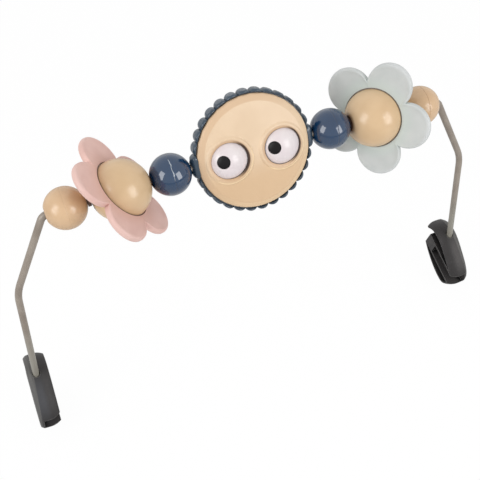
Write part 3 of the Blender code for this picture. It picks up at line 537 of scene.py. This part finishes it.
def petalPlastic(colour):  # deeper near the ball, paler on the lobes' edges, painted shade in the groove
    look = flower["look"][colour]
    paint = mouldedPlastic(colour + "Petal", {**flower["petal"], **look})
    reach = paint.reach((1.0, 1.0, 0.0))
    for zone in ("inner", "outer"):
        paint.shade((look[zone], *flower[zone]), reach)
    # painted shade in the groove round the ball
    paint.shade(flower["creviceShade"], reach)
    return paint


def discFrame(colour):  # local +Z stands square to the petals
    tilt = flower["tilt"]
    normal = Vector((-cos(tilt), 0, sin(tilt)))
    outward = Vector((sin(tilt), 0, cos(tilt)))
    hung = barFrame("flower_" + colour, flower["spin"][colour])
    return hung @ axesMatrix(outward, normal.cross(outward))


def petalSection(reach):
    collar, lean = flower["ball"] + gap, flower["grooveLean"]
    groove = collar + flower["grooveWidth"]
    dish = max(reach - flower["dishInset"], groove + flower["land"])
    inside = [(flower["hub"] + gap, flower["hubHalf"]), (flower["ball"] - gap, flower["hubHalf"]),
              (collar - lean, flower["grooveHalf"]), (groove, flower["grooveHalf"])]
    outside = [(groove + 2 * lean, flower["stepHalf"]), (dish, flower["dishHalf"]),
               (reach - flower["crestInset"], flower["crestHalf"]),
               (reach - flower["rimInset"], flower["rimHalf"]),
               (reach - flower["tipInset"], flower["rimHalf"] * flower["tipShare"]), (reach, 0)]
    line = inside + softened(outside, 3)
    return line + [(radius, -height) for radius, height in line[-2::-1]]


def makePetals(colour):
    sections = []
    count = flower["petals"] * flower["stepsPerLobe"]
    for step in range(count):
        angle = tau * step / count
        offAxis = (angle + halfPitch) % (2 * halfPitch) - halfPitch
        across = lobeCentre * sin(offAxis)
        reach = lobeCentre * cos(offAxis) + sqrt(lobeRadius ** 2 - across ** 2)
        sections.append([(r * cos(angle), r * sin(angle), h) for r, h in petalSection(reach)])
    body = "flower_" + colour
    place = discFrame(colour) @ Matrix.Rotation(flower["petalTurn"][colour], 4, "Z")
    piece = makePiece(body + "_petals_moulded", *rowSkin(sections, True), place, 60.0)
    settle(piece, body, petalPlastic(colour), colour + "_plastic", body + "_petals")


def makeBallHalf(colour, side, part, paint):
    seat, edge = flower["hubHalf"] + gap, flower["edge"]
    hubInner, innerBall = flower["hub"] - flower["hubWall"], flower["ball"] - flower["wall"]
    start = seatHeight(flower["ball"], seat)
    hub = [(hubInner, gap / 2), (flower["hub"], gap / 2), (flower["hub"], seat), (start - edge, seat),
           (start - edge * 0.2, seat + edge * 0.3)]
    outside = ballCap(flower["ball"], seat + edge, flower["arcSteps"])
    inside = ballCap(innerBall, seatHeight(innerBall, hubInner), flower["innerSteps"])
    profile = [(radius, side * height) for radius, height in hub + outside + inside[::-1]]
    body = "flower_" + colour
    piece = turnedPiece(body + "_" + part + "_shell", profile, "ball", discFrame(colour), "Z")
    bore, far = flower["sleeve"] + gap, flower["ball"] + overrun
    mouth, lip = flower["mouth"], seatHeight(flower["ball"], flower["mouth"])
    funnel = [(0, far), (mouth + flower["mouthFlare"], far), (mouth, lip),
              (bore, lip - flower["mouthDepth"])]
    place = barFrame(body, flower["spin"][colour])
    carve(piece, [turnedPiece("hole", mirrored(funnel), "hole", place)])
    settle(piece, body, paint, "beige_plastic", body + "_" + part)


def makeSleeve(colour):
    body, edge = "flower_" + colour, flower["edge"]
    seat = seatHeight(flower["ball"], flower["sleeve"] + gap)
    half = [(flower["sleeve"], seat - edge), (flower["sleeve"] - edge, seat), (boreRadius + edge / 2, seat),
            (boreRadius, seat - edge)]
    piece = turnedPiece(body + "_tube", mirrored(half[::-1]), "tube", barFrame(body))
    settle(piece, body, darkNylon, "dark_nylon", body + "_sleeve")


def ballPlastic():  # painted shade: browner round the mouths of the bore, which slants through the ball
    paint = mouldedPlastic("ballBeige", flower["ballLook"])
    paint.shade(flower["bore"], paint.awayFrom((sin(flower["tilt"]), 0, -cos(flower["tilt"]))))
    return paint


ballBeige = ballPlastic()
for colour in ("pink", "mint"):
    makePetals(colour)
    makeBallHalf(colour, 1, "ball_front", ballBeige)
    makeBallHalf(colour, -1, "ball_back", ballBeige)
    makeSleeve(colour)

print("face")
face = {
    "tilt": radians(21.6), "radius": 47.4 * mm, "flangeHalf": 2.0 * mm, "edgeHeight": 4.8 * mm,
    "shoulder": 42.0 * mm, "shoulderHeight": 7.7 * mm, "crown": 9.6 * mm, "wall": 2.4 * mm, "sides": 216,
    "rings": 84, "innerRings": 6, "bandSteps": 12, "bandFullness": 0.85, "edge": 0.4 * mm,
    "sleeve": 4.4 * mm, "collar": 1.3 * mm, "collarTop": 3.6 * mm, "collarFoot": 5.4 * mm,
    "lipRise": 0.5 * mm, "lipStart": -0.4 * mm, "lipWidth": 3.4 * mm,
    "look": {
        "dark": tone(222, 195, 163), "light": tone(228, 202, 171), "speck": tone(206, 173, 137),
        "roughness": 0.38, "speckShare": 0.07},
    # painted shade and highlights on the face: darker towards the bottom, on the band's upper left, round
    # each eye, on the right of each opening's lip and at the sockets' edge; paler on the band's and the
    # collars' lower right
    "lowShade": (tone(213, 180, 142), 4.0, -24.0, 0.9), "band": (41.9, 42.8), "bandLean": 0.75,
    "bandShade": (tone(209, 174, 138), -5.0, 37.5, 0.6),
    "bandGlint": (tone(246, 219, 178), 12.5, -37.5, 0.3),
    "collarShade": (tone(196, 158, 120), 3.8, 0.6, 0.75), "collarInner": (3.5, 4.1),
    "collarOuter": (5.3, 4.6), "collarGlint": (tone(246, 219, 178), 2.0, 12.0, 1.0), "collarLean": 0.6,
    "lipSide": (2.0, 13.0), "lip": (tone(62, 42, 30), 2.3, 1.3, 1.0),
    "socket": (tone(62, 42, 30), 0.55, 0.1, 0.85)}
rim = {
    "inner": 44.2 * mm, "grooveTop": 3.0 * mm, "grooveWidth": 0.7 * mm, "valleyRise": 0.8 * mm,
    "crestRise": 3.9 * mm, "neck": 0.4 * mm, "knob": 2.0 * mm, "halfWidth": 5.6 * mm, "valleyShare": 0.58,
    "arcTurn": radians(118.0), "ribPitch": radians(12.0), "stepsPerRib": 16, "sectionSteps": 24,
    "bossReach": 52.7 * mm, "bossTurn": radians(6.0), "bossEnd": radians(12.0), "padLength": 5.6 * mm,
    "padHalf": 3.6 * mm, "padDrop": 0.6 * mm, "padSpan": (0.8, 1.25), "bossFlatness": 0.5, "fullness": 0.7,
    "dimple": 0.55 * mm, "dimpleAlong": 0.6, "dimpleAcross": 0.5, "dimpleSpan": (0.4, 1.0),
    "look": {
        "dark": tone(39, 56, 71), "light": tone(49, 67, 83), "speck": tone(92, 106, 118),
        "roughness": 0.26, "swing": 0.06, "grainDepth": 0.015 * mm, "speckShare": 0.12, "specular": 0.3,
        "coat": 0.55, "coatRoughness": 0.06}}
eye = {
    "radius": 17.3 * mm, "seatGap": 0.4 * mm, "offset": 22.3 * mm, "opening": 14.8 * mm, "socketSteps": 40,
    "arcSteps": 56, "pupil": 5.1 * mm, "pupilDepth": 1.6 * mm, "pupilEdge": 0.25 * mm,
    "pupilProud": 0.1 * mm, "pupilSteps": 12, "gaze": {"left": radians(-24.0), "right": radians(-29.0)},
    "gazeRise": radians(9.0),
    "look": {
        "dark": tone(224, 213, 215), "light": tone(230, 222, 222), "speck": tone(216, 207, 208),
        "roughness": 0.2, "swing": 0.04, "specular": 0.4, "grainDepth": 0.004 * mm, "speckShare": 0.03,
        "patchScale": 70.0},
    "streakScale": 420.0, "streakStretch": (1.0, 1.0, 0.06), "streakSpan": (0.5, 0.7), "streakSwing": 0.08,
    "pupilLook": {
        "dark": tone(14, 12, 13), "light": tone(20, 18, 19), "speck": tone(40, 36, 37), "roughness": 0.3,
        "swing": 0.06, "specular": 0.2}}
screws = {
    "along": 17.0 * mm, "across": 29.0 * mm, "head": 2.8 * mm, "seat": 4.9 * mm,
    "dark": tone(150, 150, 150), "light": tone(190, 190, 188), "roughness": 0.2, "swing": 0.25,
    "markScale": 900.0, "markStretch": (1.0, 6.0, 1.0), "markDepth": 0.02 * mm}
faceFrame = barFrame("face", -face["tilt"])


def facePlastic():  # painted shade: deeper towards the chin, on the upper left of the edge band, round each eye and dark inside the eye openings; painted highlights on the lower right of the band and of each eye's collar
    paint = mouldedPlastic("faceSkin", face["look"])
    up, along = paint.part("Z"), paint.part("X")
    # painted shade, darker towards the bottom
    paint.shade(face["lowShade"], up)
    # painted shade on the edge band's upper left and a painted highlight on its lower right
    band, upLeft = paint.reach((1.0, 0.0, 1.0)).ramp(*face["band"]), up - along * face["bandLean"]
    paint.shade(face["bandShade"], upLeft, band)
    paint.shade(face["bandGlint"], upLeft, band)
    # painted shade round each eye and a painted highlight on the lower right of each eye's collar
    across = along - along.sign() * (eye["offset"] / mm)
    away = (across ** 2.0 + up ** 2.0) ** 0.5 - eye["opening"] / mm
    paint.shade(face["collarShade"], away)
    collar, lowRight = away.ramp(*face["collarInner"]), across * face["collarLean"] - up
    paint.shade(face["collarGlint"], lowRight, collar, away.ramp(*face["collarOuter"]))
    # painted shade: dark brown on the right of each opening's lip and all round the socket's edge
    paint.shade(face["lip"], away, across.ramp(*face["lipSide"]))
    paint.shade(face["socket"], away)
    return paint


def faceHeight(radius):
    share = radius / face["shoulder"]
    return face["crown"] - (face["crown"] - face["shoulderHeight"]) * share ** 2


def eyeCollar(x, z):  # a raised ring round each eye, rolled over towards the opening
    away = hypot(abs(x) - eye["offset"], z) - eye["opening"]
    rise = face["collar"] * (1 - smoothStep(away, face["collarTop"], face["collarFoot"]))
    drop = (face["collar"] - face["lipRise"]) * (1 - smoothStep(away, face["lipStart"], face["lipWidth"]))
    return rise - drop


def boreCutter():  # clears the rod at both ends and seats the sleeve between them
    far, wide, end = rim["bossReach"] + overrun, face["sleeve"] + gap, rim["inner"]
    inner = boreRadius + rim["bossReach"] ** 2 / (2 * arcRadius)
    half = [(0, far), (inner, far), (inner, end), (wide, end)]
    return turnedPiece("bore", mirrored(half), "tube", faceFrame)


def makeFaceShell(side, node, paint):
    base, wall, steps = face["flangeHalf"] + gap, face["wall"], face["bandSteps"]
    run, rise = face["radius"] - face["shoulder"], face["shoulderHeight"] - face["edgeHeight"]
    start = (face["radius"], face["edgeHeight"] - face["edge"])
    shares = [step / steps for step in range(1, steps + 1)]
    band = [(face["radius"] - run * share, face["edgeHeight"] + rise * share ** face["bandFullness"])
            for share in shares]
    dome = [face["shoulder"] * (1 - step / face["rings"]) for step in range(1, face["rings"])]
    inner = [face["shoulder"] * step / face["innerRings"] for step in range(1, face["innerRings"])]
    outside = [(face["radius"], base), start] + softened([start] + band, 1)[1:]
    outside += [(radius, faceHeight(radius)) for radius in dome] + [(0, face["crown"])]
    inside = [(0, face["crown"] - wall)] + [(radius, faceHeight(radius) - wall) for radius in inner]
    inside += [(face["shoulder"] - wall / 2, face["shoulderHeight"] - wall),
               (face["radius"] - wall, face["edgeHeight"] - wall / 2), (face["radius"] - wall, base)]
    points, faces = turned([(r, side * h) for r, h in outside + inside], face["sides"], "Y")
    shaped = []
    for x, y, z in points:
        away = hypot(x, z)
        onTop = away < face["shoulder"] and -y * side > faceHeight(away) - gap
        shaped.append((x, y - side * eyeCollar(x, z), z) if onTop else (x, y, z))
    piece = makePiece(node + "_moulded", shaped, faces, faceFrame)
    cutters, far = [boreCutter()], face["crown"] + 2 * overrun
    ball = eye["radius"] + eye["seatGap"]
    socket = [(0, -ball)] + ballCap(ball, -ball, eye["socketSteps"])[1:]
    opening = [(0, -far), (eye["opening"], -far), (eye["opening"], far), (0, far)]
    for offset in (-eye["offset"], eye["offset"]):
        place = faceFrame @ Matrix.Translation((offset, 0, 0))
        cutters.append(turnedPiece("socket", socket, "socket", place))
        cutters.append(turnedPiece("opening", opening, "ball", place, "Y"))
    if side < 0:
        head, seat = screws["head"] + gap, screws["seat"]
        well = [(0, -seat), (head, -seat), (head, -far), (0, -far)]
        for x in (-screws["along"], screws["along"]):
            for z in (-screws["across"], screws["across"]):
                place = faceFrame @ Matrix.Translation((x, 0, z))
                cutters.append(turnedPiece("well", well, "well", place, "Y"))
    carve(piece, cutters, smoothAngle=32.0)
    settle(piece, "face", paint, "skin_plastic", node)


def rimSection(angle):  # a round knob between two valleys, or the boss that the bar goes through
    lip, steps = face["radius"] + gap, rim["sectionSteps"]
    offCrest = abs(angle / rim["ribPitch"] % 1 * 2 - 1)
    swell = (1 - offCrest ** 2) ** rim["fullness"]
    deep = rim["neck"] + (rim["knob"] - rim["neck"]) * swell
    reach = lip + rim["valleyRise"] + (rim["crestRise"] - rim["valleyRise"]) * swell
    half = rim["halfWidth"] * (rim["valleyShare"] + (1 - rim["valleyShare"]) * swell)
    fromBar = abs((angle + pi / 2) % pi - pi / 2)
    boss = 1 - smoothStep(fromBar, rim["bossTurn"], rim["bossEnd"])
    flat = rim["bossReach"] / cos(min(fromBar, rim["bossEnd"]))
    arc = []
    for step in range(steps + 1):
        share = 1 - 2 * step / steps
        turn, bossTurn = share * rim["arcTurn"], share * pi / 2
        radius, height = reach - deep + deep * cos(turn), half * sin(turn)
        offDimple = hypot(offCrest / rim["dimpleAlong"], share / rim["dimpleAcross"])
        radius -= rim["dimple"] * (1 - smoothStep(offDimple, *rim["dimpleSpan"]))
        bossHeight = rim["halfWidth"] * sin(bossTurn)
        onPad = (fromBar * flat / rim["padLength"]) ** 2 + (bossHeight / rim["padHalf"]) ** 2
        bossRadius = lip + (flat - lip) * max(cos(bossTurn), 0) ** rim["bossFlatness"]
        bossRadius -= rim["padDrop"] * smoothStep(onPad, *rim["padSpan"])
        arc.append((radius + (bossRadius - radius) * boss, height + (bossHeight - height) * boss))
    flange, top, floor = face["flangeHalf"], rim["grooveTop"], lip + rim["grooveWidth"] * (1 - boss)
    return ([(rim["inner"], -flange), (rim["inner"], flange), (lip, flange), (lip, top), (floor, top)] + arc
            + [(floor, -top), (lip, -top), (lip, -flange)])


def makeRim():
    count = round(tau / rim["ribPitch"]) * rim["stepsPerRib"]
    sections = []
    for step in range(count):
        angle = tau * step / count
        sections.append([(r * cos(angle), -h, r * sin(angle)) for r, h in rimSection(angle)])
    piece = makePiece("face_rim_ribbed", *rowSkin(sections, True), faceFrame, 50.0)
    carve(piece, [boreCutter()], smoothAngle=50.0)
    settle(piece, "face", mouldedPlastic("navyRim", rim["look"]), "navy_plastic", "face_rim")


def eyePlastic():  # glossy, with faint upright drag marks that show only in the shine
    paint = mouldedPlastic("eyeWhite", eye["look"])
    streaks = paint.noise(eye["streakScale"], detail=2.0, stretch=eye["streakStretch"])
    streaks = streaks.ramp(*eye["streakSpan"]) * eye["streakSwing"]
    paint.feed("Roughness", streaks + eye["look"]["roughness"])
    return paint


def makeEye(side, white, black):
    body = "eye_" + side
    centre = faceFrame @ Matrix.Translation((signOf[side] * eye["offset"], 0, 0))
    gaze = centre @ Matrix.Rotation(-eye["gazeRise"], 4, "X") @ Matrix.Rotation(eye["gaze"][side], 4, "Z")
    seat, edge = seatHeight(eye["radius"], face["sleeve"] + gap), eye["pupilEdge"]
    arc = ballArc(eye["radius"], -seat, seat, eye["arcSteps"])
    ball = turnedPiece(body + "_white", arc, "ball", centre)
    rimHeight = seatHeight(eye["radius"], eye["pupil"])
    floor, far, hole = rimHeight - eye["pupilDepth"], eye["radius"] + overrun, eye["pupil"] + gap
    pocket = [(0, floor - gap), (hole, floor - gap), (hole, far), (0, far)]
    carve(ball, [turnedPiece("pocket", pocket, "hole", gaze, "Y")], smoothAngle=30.0)
    settle(ball, body, white, "eye_white", body + "_ball")
    proud = eye["radius"] + eye["pupilProud"]
    crownFoot = seatHeight(eye["radius"], eye["pupil"] - edge)
    crown = ballArc(proud, crownFoot, eye["radius"], eye["pupilSteps"])[1:-1] + [(0, proud)]
    profile = [(0, floor), (eye["pupil"], floor), (eye["pupil"], rimHeight - edge),
               (eye["pupil"] - edge * 0.3, rimHeight - edge * 0.2)] + crown
    piece = turnedPiece(body + "_black", profile, "hole", gaze, "Y")
    settle(piece, body, black, "pupil_black", body + "_pupil")


def platedSteel():
    paint = Paint("platedSteel", metallic=1.0, onNode=True)
    marks = paint.noise(screws["markScale"], 4.0, 0.7, screws["markStretch"])
    paint.feed("Base Color", paint.blend(screws["dark"], screws["light"], marks))
    paint.feed("Roughness", marks * screws["swing"] + screws["roughness"])
    paint.emboss(marks, screws["markDepth"])
    return paint


def tubeNylon():
    paint = Paint("tubeNylon", nylon["roughness"], onNode=True)
    patches = paint.noise(nylon["tubePatches"])
    paint.feed("Base Color", paint.blend(nylon["dark"], nylon["light"], patches))
    paint.emboss(paint.noise(plastic["grainScale"]), plastic["grainDepth"])
    return paint


faceSkin, eyeWhite, screwSteel = facePlastic(), eyePlastic(), platedSteel()
pupilBlack = mouldedPlastic("pupilBlack", eye["pupilLook"])
makeFaceShell(1, "face_front", faceSkin)
makeFaceShell(-1, "face_back", faceSkin)
makeRim()
for side in ("left", "right"):
    makeEye(side, eyeWhite, pupilBlack)
for number in range(1, 5):
    cover(frame["nodes"]["face_screw_%d" % number].data, screwSteel)
cover(frame["nodes"]["face_sleeve"].data, tubeNylon())

print("clips")
clip = {
    "width": 19.6 * mm, "innerFromRod": 11.8 * mm, "toeIn": radians(2.5), "halfLength": 36.6 * mm,
    "frontBulge": 31.9 * mm, "backBulge": 18.5 * mm, "lean": radians(43.0), "centreBack": 6.4 * mm,
    "centreBelow": 3.6 * mm, "fullness": 0.66, "innerCrown": 2.9 * mm, "ridge": 0.5, "crease": 0.86,
    "creaseDrop": 0.35 * mm, "outerCrown": 2.3 * mm, "outerWall": 3.5 * mm, "shell": 1.8 * mm,
    "plate": 2.3 * mm, "socketWall": 2.2 * mm, "mouthGap": 3.0 * mm, "heel": 24.0 * mm,
    "channel": 17.2 * mm, "drop": radians(21.6), "channelBack": 10.5 * mm, "steps": 56, "levels": 22,
    "edge": 0.45 * mm, "mouth": 3.8 * mm, "mouthDepth": 4.0 * mm, "funnel": 1.0 * mm,
    "socketDepth": 14.0 * mm,
    "look": {
        "dark": tone(50, 48, 48), "light": tone(59, 57, 57), "speck": tone(80, 78, 77), "roughness": 0.46,
        "specular": 0.25, "grainDepth": 0.05 * mm, "grainScale": 1100.0, "speckShare": 0.2,
        "rounding": 0.5 * mm},
    # painted sheen on the crown's outer middle, a painted highlight on the outer band, painted shade in the
    # hollows, and pale edges that are partly wear and partly painted highlight
    "sheen": {"left": (tone(84, 86, 91), 34.0, 24.0, 0.5), "right": (tone(76, 72, 71), 34.0, 24.0, 0.5)},
    "sheenSide": (-6.0, 0.0), "band": (tone(98, 97, 95), -0.2, 0.5, 0.7), "bandMiddle": 5.0,
    "bandTaper": 0.09, "cavityShade": (tone(12, 12, 13), 0.94, 0.5, 1.0), "cavityReach": 10.0 * mm,
    "edgeWearAndGlint": (tone(140, 138, 136), 0.99, 0.86, 0.75), "edgeRadius": 0.7 * mm}


def clipPlastic(side):  # pale along the edges (wear and painted highlight), painted sheen, a painted highlight on the outer band, painted shade down in the hollows
    paint = mouldedPlastic("clipPlastic_" + side, clip["look"])
    outward = paint.part("X") * signOf[side]
    # painted sheen on the outer middle of the crown
    paint.shade(clip["sheen"][side], paint.reach((0.0, 1.0, 1.0)), outward.ramp(*clip["sheenSide"]))
    # painted highlight: a lighter band on the outer crown
    crease = (clip["width"] * clip["crease"] - clip["innerFromRod"]) / mm
    taper = (paint.part("Z") - clip["bandMiddle"]) * clip["bandTaper"]  # wide at the top, gone below
    paint.shade(clip["band"], outward + taper - crease)
    # painted shade: ambient occlusion darkens the hollows
    opened = paint.node("ShaderNodeAmbientOcclusion", {"samples": 12, "only_local": True},
                        {"Distance": clip["cavityReach"]}, "AO")
    paint.shade(clip["cavityShade"], opened)
    # pale edges, partly wear and partly painted highlight
    rounded = paint.node("ShaderNodeBevel", {"samples": 6}, {"Radius": clip["edgeRadius"]})
    true = paint.node("ShaderNodeNewGeometry", output="Normal")
    facing = paint.node("ShaderNodeVectorMath", {"operation": "DOT_PRODUCT"}, {0: rounded, 1: true},
                        "Value")
    paint.shade(clip["edgeWearAndGlint"], facing)
    return paint


def signedPower(value, power):
    return copysign(abs(value) ** power, value)


def clipOutline(margin):  # a leaning oval, fuller in front, as places in the clip's own YZ plane
    down = Vector((-sin(clip["lean"]), -cos(clip["lean"])))
    back = Vector((cos(clip["lean"]), -sin(clip["lean"])))
    centre = Vector((clip["centreBack"], -clip["centreBelow"]))
    outline = []
    for step in range(2 * clip["steps"]):
        turn, inFront = pi * step / clip["steps"], step <= clip["steps"]
        bulge, power = (clip["frontBulge"], clip["fullness"]) if inFront else (clip["backBulge"], 1.0)
        outline.append(centre - down * (clip["halfLength"] - margin) * signedPower(cos(turn), power)
                       - back * (bulge - margin) * signedPower(sin(turn), power))
    return outline


def channelBand(low, high, back, front):
    forward = Vector((-cos(clip["drop"]), -sin(clip["drop"])))
    upward = Vector((-sin(clip["drop"]), cos(clip["drop"])))
    return [forward * a + upward * b for a, b in ((back, low), (front, low), (front, high), (back, high))]


def crownMargin(share):  # how far the outline is drawn in, from the inner side to the outer
    ridge, crease, drop = clip["ridge"], clip["crease"], clip["creaseDrop"]
    if share < ridge:
        return clip["innerCrown"] * (1 - share / ridge) ** 2
    if share < crease:
        return drop * ((share - ridge) / (crease - ridge)) ** 2
    return drop + (clip["outerCrown"] - drop) * (share - crease) / (1 - crease)


def makeClip(side, paint):
    sign, splay = signOf[side], rod["lowerSplay"]
    legFoot = rod["halfSpan"] + rod["kneeDrop"] * tan(rod["upperSplay"])
    legFoot += (rod["barHeight"] - rod["kneeDrop"]) * tan(splay)
    place = (Matrix.Translation((sign * legFoot, 0, 0)) @ Matrix.Rotation(-sign * splay, 4, "Y")
             @ Matrix.Rotation(-sign * clip["toeIn"], 4, "Z"))
    inner, outer = -clip["innerFromRod"], clip["width"] - clip["innerFromRod"]
    reach, halfGap, edge = 2 * clip["halfLength"], clip["channel"] / 2, clip["edge"]
    plate, mouth = halfGap + clip["plate"], inner - overrun
    floor = -rod["radius"] - gap - clip["socketWall"]

    def solid(levels):
        rows = [[(sign * x, y, z) for y, z in outline] for x, outline in levels]
        return makePiece("clipWork", *rowSkin(rows), place)

    shares = [0.5 - 0.5 * cos(pi * step / clip["levels"]) for step in range(clip["levels"] + 1)]
    levels = []
    for share in sorted(shares + [clip["crease"]]):
        fromEdge = min(share, 1 - share) * clip["width"] / edge
        softening = edge * (1 - sqrt(max(0.0, 1 - (1 - min(fromEdge, 1)) ** 2)))
        levels.append((inner + clip["width"] * share, clipOutline(crownMargin(share) + softening)))
    body = solid(levels)
    heel = channelBand(-reach, plate + clip["mouthGap"], -reach, -clip["heel"])
    channel = channelBand(-halfGap, halfGap, -clip["channelBack"], reach)
    cutters = [solid([(mouth, heel), (outer + overrun, heel)]),
               solid([(mouth, channel), (outer - clip["outerWall"], channel)])]
    for low, high in ((plate, reach), (-reach, -plate)):
        outline = clipOutline(clip["innerCrown"] + clip["shell"])
        band = channelBand(low, high, -reach, reach)
        pocket = solid([(mouth, outline), (floor, outline)])
        carve(pocket, [solid([(mouth - overrun, band), (floor + overrun, band)])], "INTERSECT")
        cutters.append(pocket)
    foot = Vector((sign * sin(splay), 0, -cos(splay)))
    end = Vector((sign * (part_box("rod")[1].x - rod["radius"] * cos(splay)), 0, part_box("rod")[0].z))
    hole, deep = rod["radius"] + gap, clip["socketDepth"] - clip["mouthDepth"]
    mouthWide, funnel = clip["mouth"], clip["funnel"]
    bore = [(0, 0), (hole, 0), (hole, deep - funnel), (mouthWide, deep), (mouthWide, reach), (0, reach)]
    turn = Matrix((Vector((0, 1, 0)).cross(-foot), (0, 1, 0), -foot)).transposed().to_4x4()
    seat = Matrix.Translation(end + foot * gap) @ turn
    cutters.append(turnedPiece("socket", bore, "wireHole", seat, "Z"))
    carve(body, cutters, smoothAngle=17.0)
    body.name = "clip_" + side + "_moulded"
    settle(body, "frame", paint, "clip_grey", "clip_" + side)


for side in ("left", "right"):
    makeClip(side, clipPlastic(side))

print("studio")
studio = {
    "place": (-0.1645, -0.4272, 0.627344), "tilt": (0.823, -0.375, -0.036), "lens": 56.055, "sensor": 36.0,
    "clipStart": 0.02, "target": (0.0, 0.0, 0.2),
    "boxes": {"leftBox": (-46.0, -9.0, 6.9), "rightBox": (50.0, -9.0, 7.6)}, "distance": 1.3, "width": 0.6,
    "height": 0.87, "overhead": (0.0, 0.6, 0.8), "fill": (0.4, 1.0), "seen": 1.0, "floorDrop": 0.5 * mm,
    "floorHalf": 3.0, "floorCells": 12, "floorRoughness": 0.8, "floorDark": tone(212, 212, 212),
    "floorLight": tone(218, 218, 218), "floorPatches": 3.0, "glow": 0.96, "glowStrength": 1.01}


def makeCamera():
    rx, ry, rz = studio["tilt"]
    turn = Matrix.Rotation(rx, 3, "X") @ Matrix.Rotation(ry, 3, "Y") @ Matrix.Rotation(rz, 3, "Z")
    rows = turn @ Matrix(((1, 0, 0), (0, 0, -1), (0, 1, 0)))
    axes = Matrix((rows[0], -rows[1], -rows[2])).transposed()
    place = Matrix.Translation(studio["place"]) @ axes.to_4x4()
    camera = addObject("camera", bpy.data.cameras.new("camera"), place)
    camera.data.lens = studio["lens"]
    camera.data.sensor_width = studio["sensor"]
    camera.data.clip_start = studio["clipStart"]
    bpy.context.scene.camera = camera
    return axes


def makeLights(axes):  # two soft boxes, at angles to the camera's own axis, each with its power
    for name, (turn, lift, power) in studio["boxes"].items():
        turn, lift = radians(turn), radians(lift)
        level = cos(lift)
        towards = axes @ Vector((sin(turn) * level, sin(lift), cos(turn) * level))
        lamp = bpy.data.lights.new(name, "AREA")
        lamp.shape, lamp.size, lamp.size_y = "RECTANGLE", studio["width"], studio["height"]
        lamp.energy = power
        place = Matrix.Translation(Vector(studio["target"]) + towards * studio["distance"])
        addObject(name, lamp, place @ (-towards).to_track_quat("-Z", "Y").to_matrix().to_4x4())


def makeWorld():  # white where it is seen, even in the shine, and a softer fill from above
    world = bpy.data.worlds.new("studio")
    bpy.context.scene.world = world
    sky = NodeTree(world)
    seen = sky.node("ShaderNodeLightPath", output="Is Camera Ray")
    for kind in ("Is Glossy Ray", "Is Transmission Ray"):
        ray = sky.node("ShaderNodeLightPath", output=kind)
        seen = sky.node("ShaderNodeMath", {"operation": "MAXIMUM"}, {0: seen, 1: ray})
    facing = sky.node("ShaderNodeTexCoord", output="Generated")
    upward = sky.node("ShaderNodeVectorMath", {"operation": "DOT_PRODUCT"},
                      {0: facing, 1: studio["overhead"]}, "Value")
    low, high = studio["fill"]
    fill = sky.node("ShaderNodeMapRange", None, {0: upward, 3: low, 4: high})
    strength = sky.node("ShaderNodeMapRange", None, {0: seen, 3: fill, 4: studio["seen"]})
    background = sky.tree.nodes["Background"]
    background.inputs["Color"].default_value = (1, 1, 1, 1)
    sky.tree.links.new(strength.socket, background.inputs["Strength"])


def makeFloor():
    low = min(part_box("clip_left")[0].z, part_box("clip_right")[0].z) - studio["floorDrop"]
    half, cells = studio["floorHalf"], studio["floorCells"]
    spots = [-half + 2 * half * step / cells for step in range(cells + 1)]
    points = [(x, y, low) for x in spots for y in spots]
    rows = [(i * (cells + 1) + j, (i + 1) * (cells + 1) + j) for i in range(cells) for j in range(cells)]
    floor = makePiece("floor", points, [[a, b, b + 1, a + 1] for a, b in rows], Matrix.Identity(4))
    paint = Paint("paleFloor", studio["floorRoughness"], onNode=True)
    patches = paint.noise(studio["floorPatches"], detail=2.0)
    paint.feed("Base Color", paint.blend(studio["floorDark"], studio["floorLight"], patches))
    glow = paint.node("ShaderNodeEmission", None, {"Color": (1, 1, 1), "Strength": studio["glowStrength"]})
    camera = paint.node("ShaderNodeLightPath", output="Is Camera Ray")
    plain = Wire(paint, paint.shader.outputs[0])
    mixed = paint.node("ShaderNodeMixShader", None, {0: camera * studio["glow"], 1: plain, 2: glow})
    paint.tree.links.new(mixed.socket, paint.tree.nodes["Material Output"].inputs["Surface"])
    floor.data.materials.append(paint.material)


makeLights(makeCamera())
makeWorld()
makeFloor()
bpy.context.scene.view_settings.view_transform = "Standard"
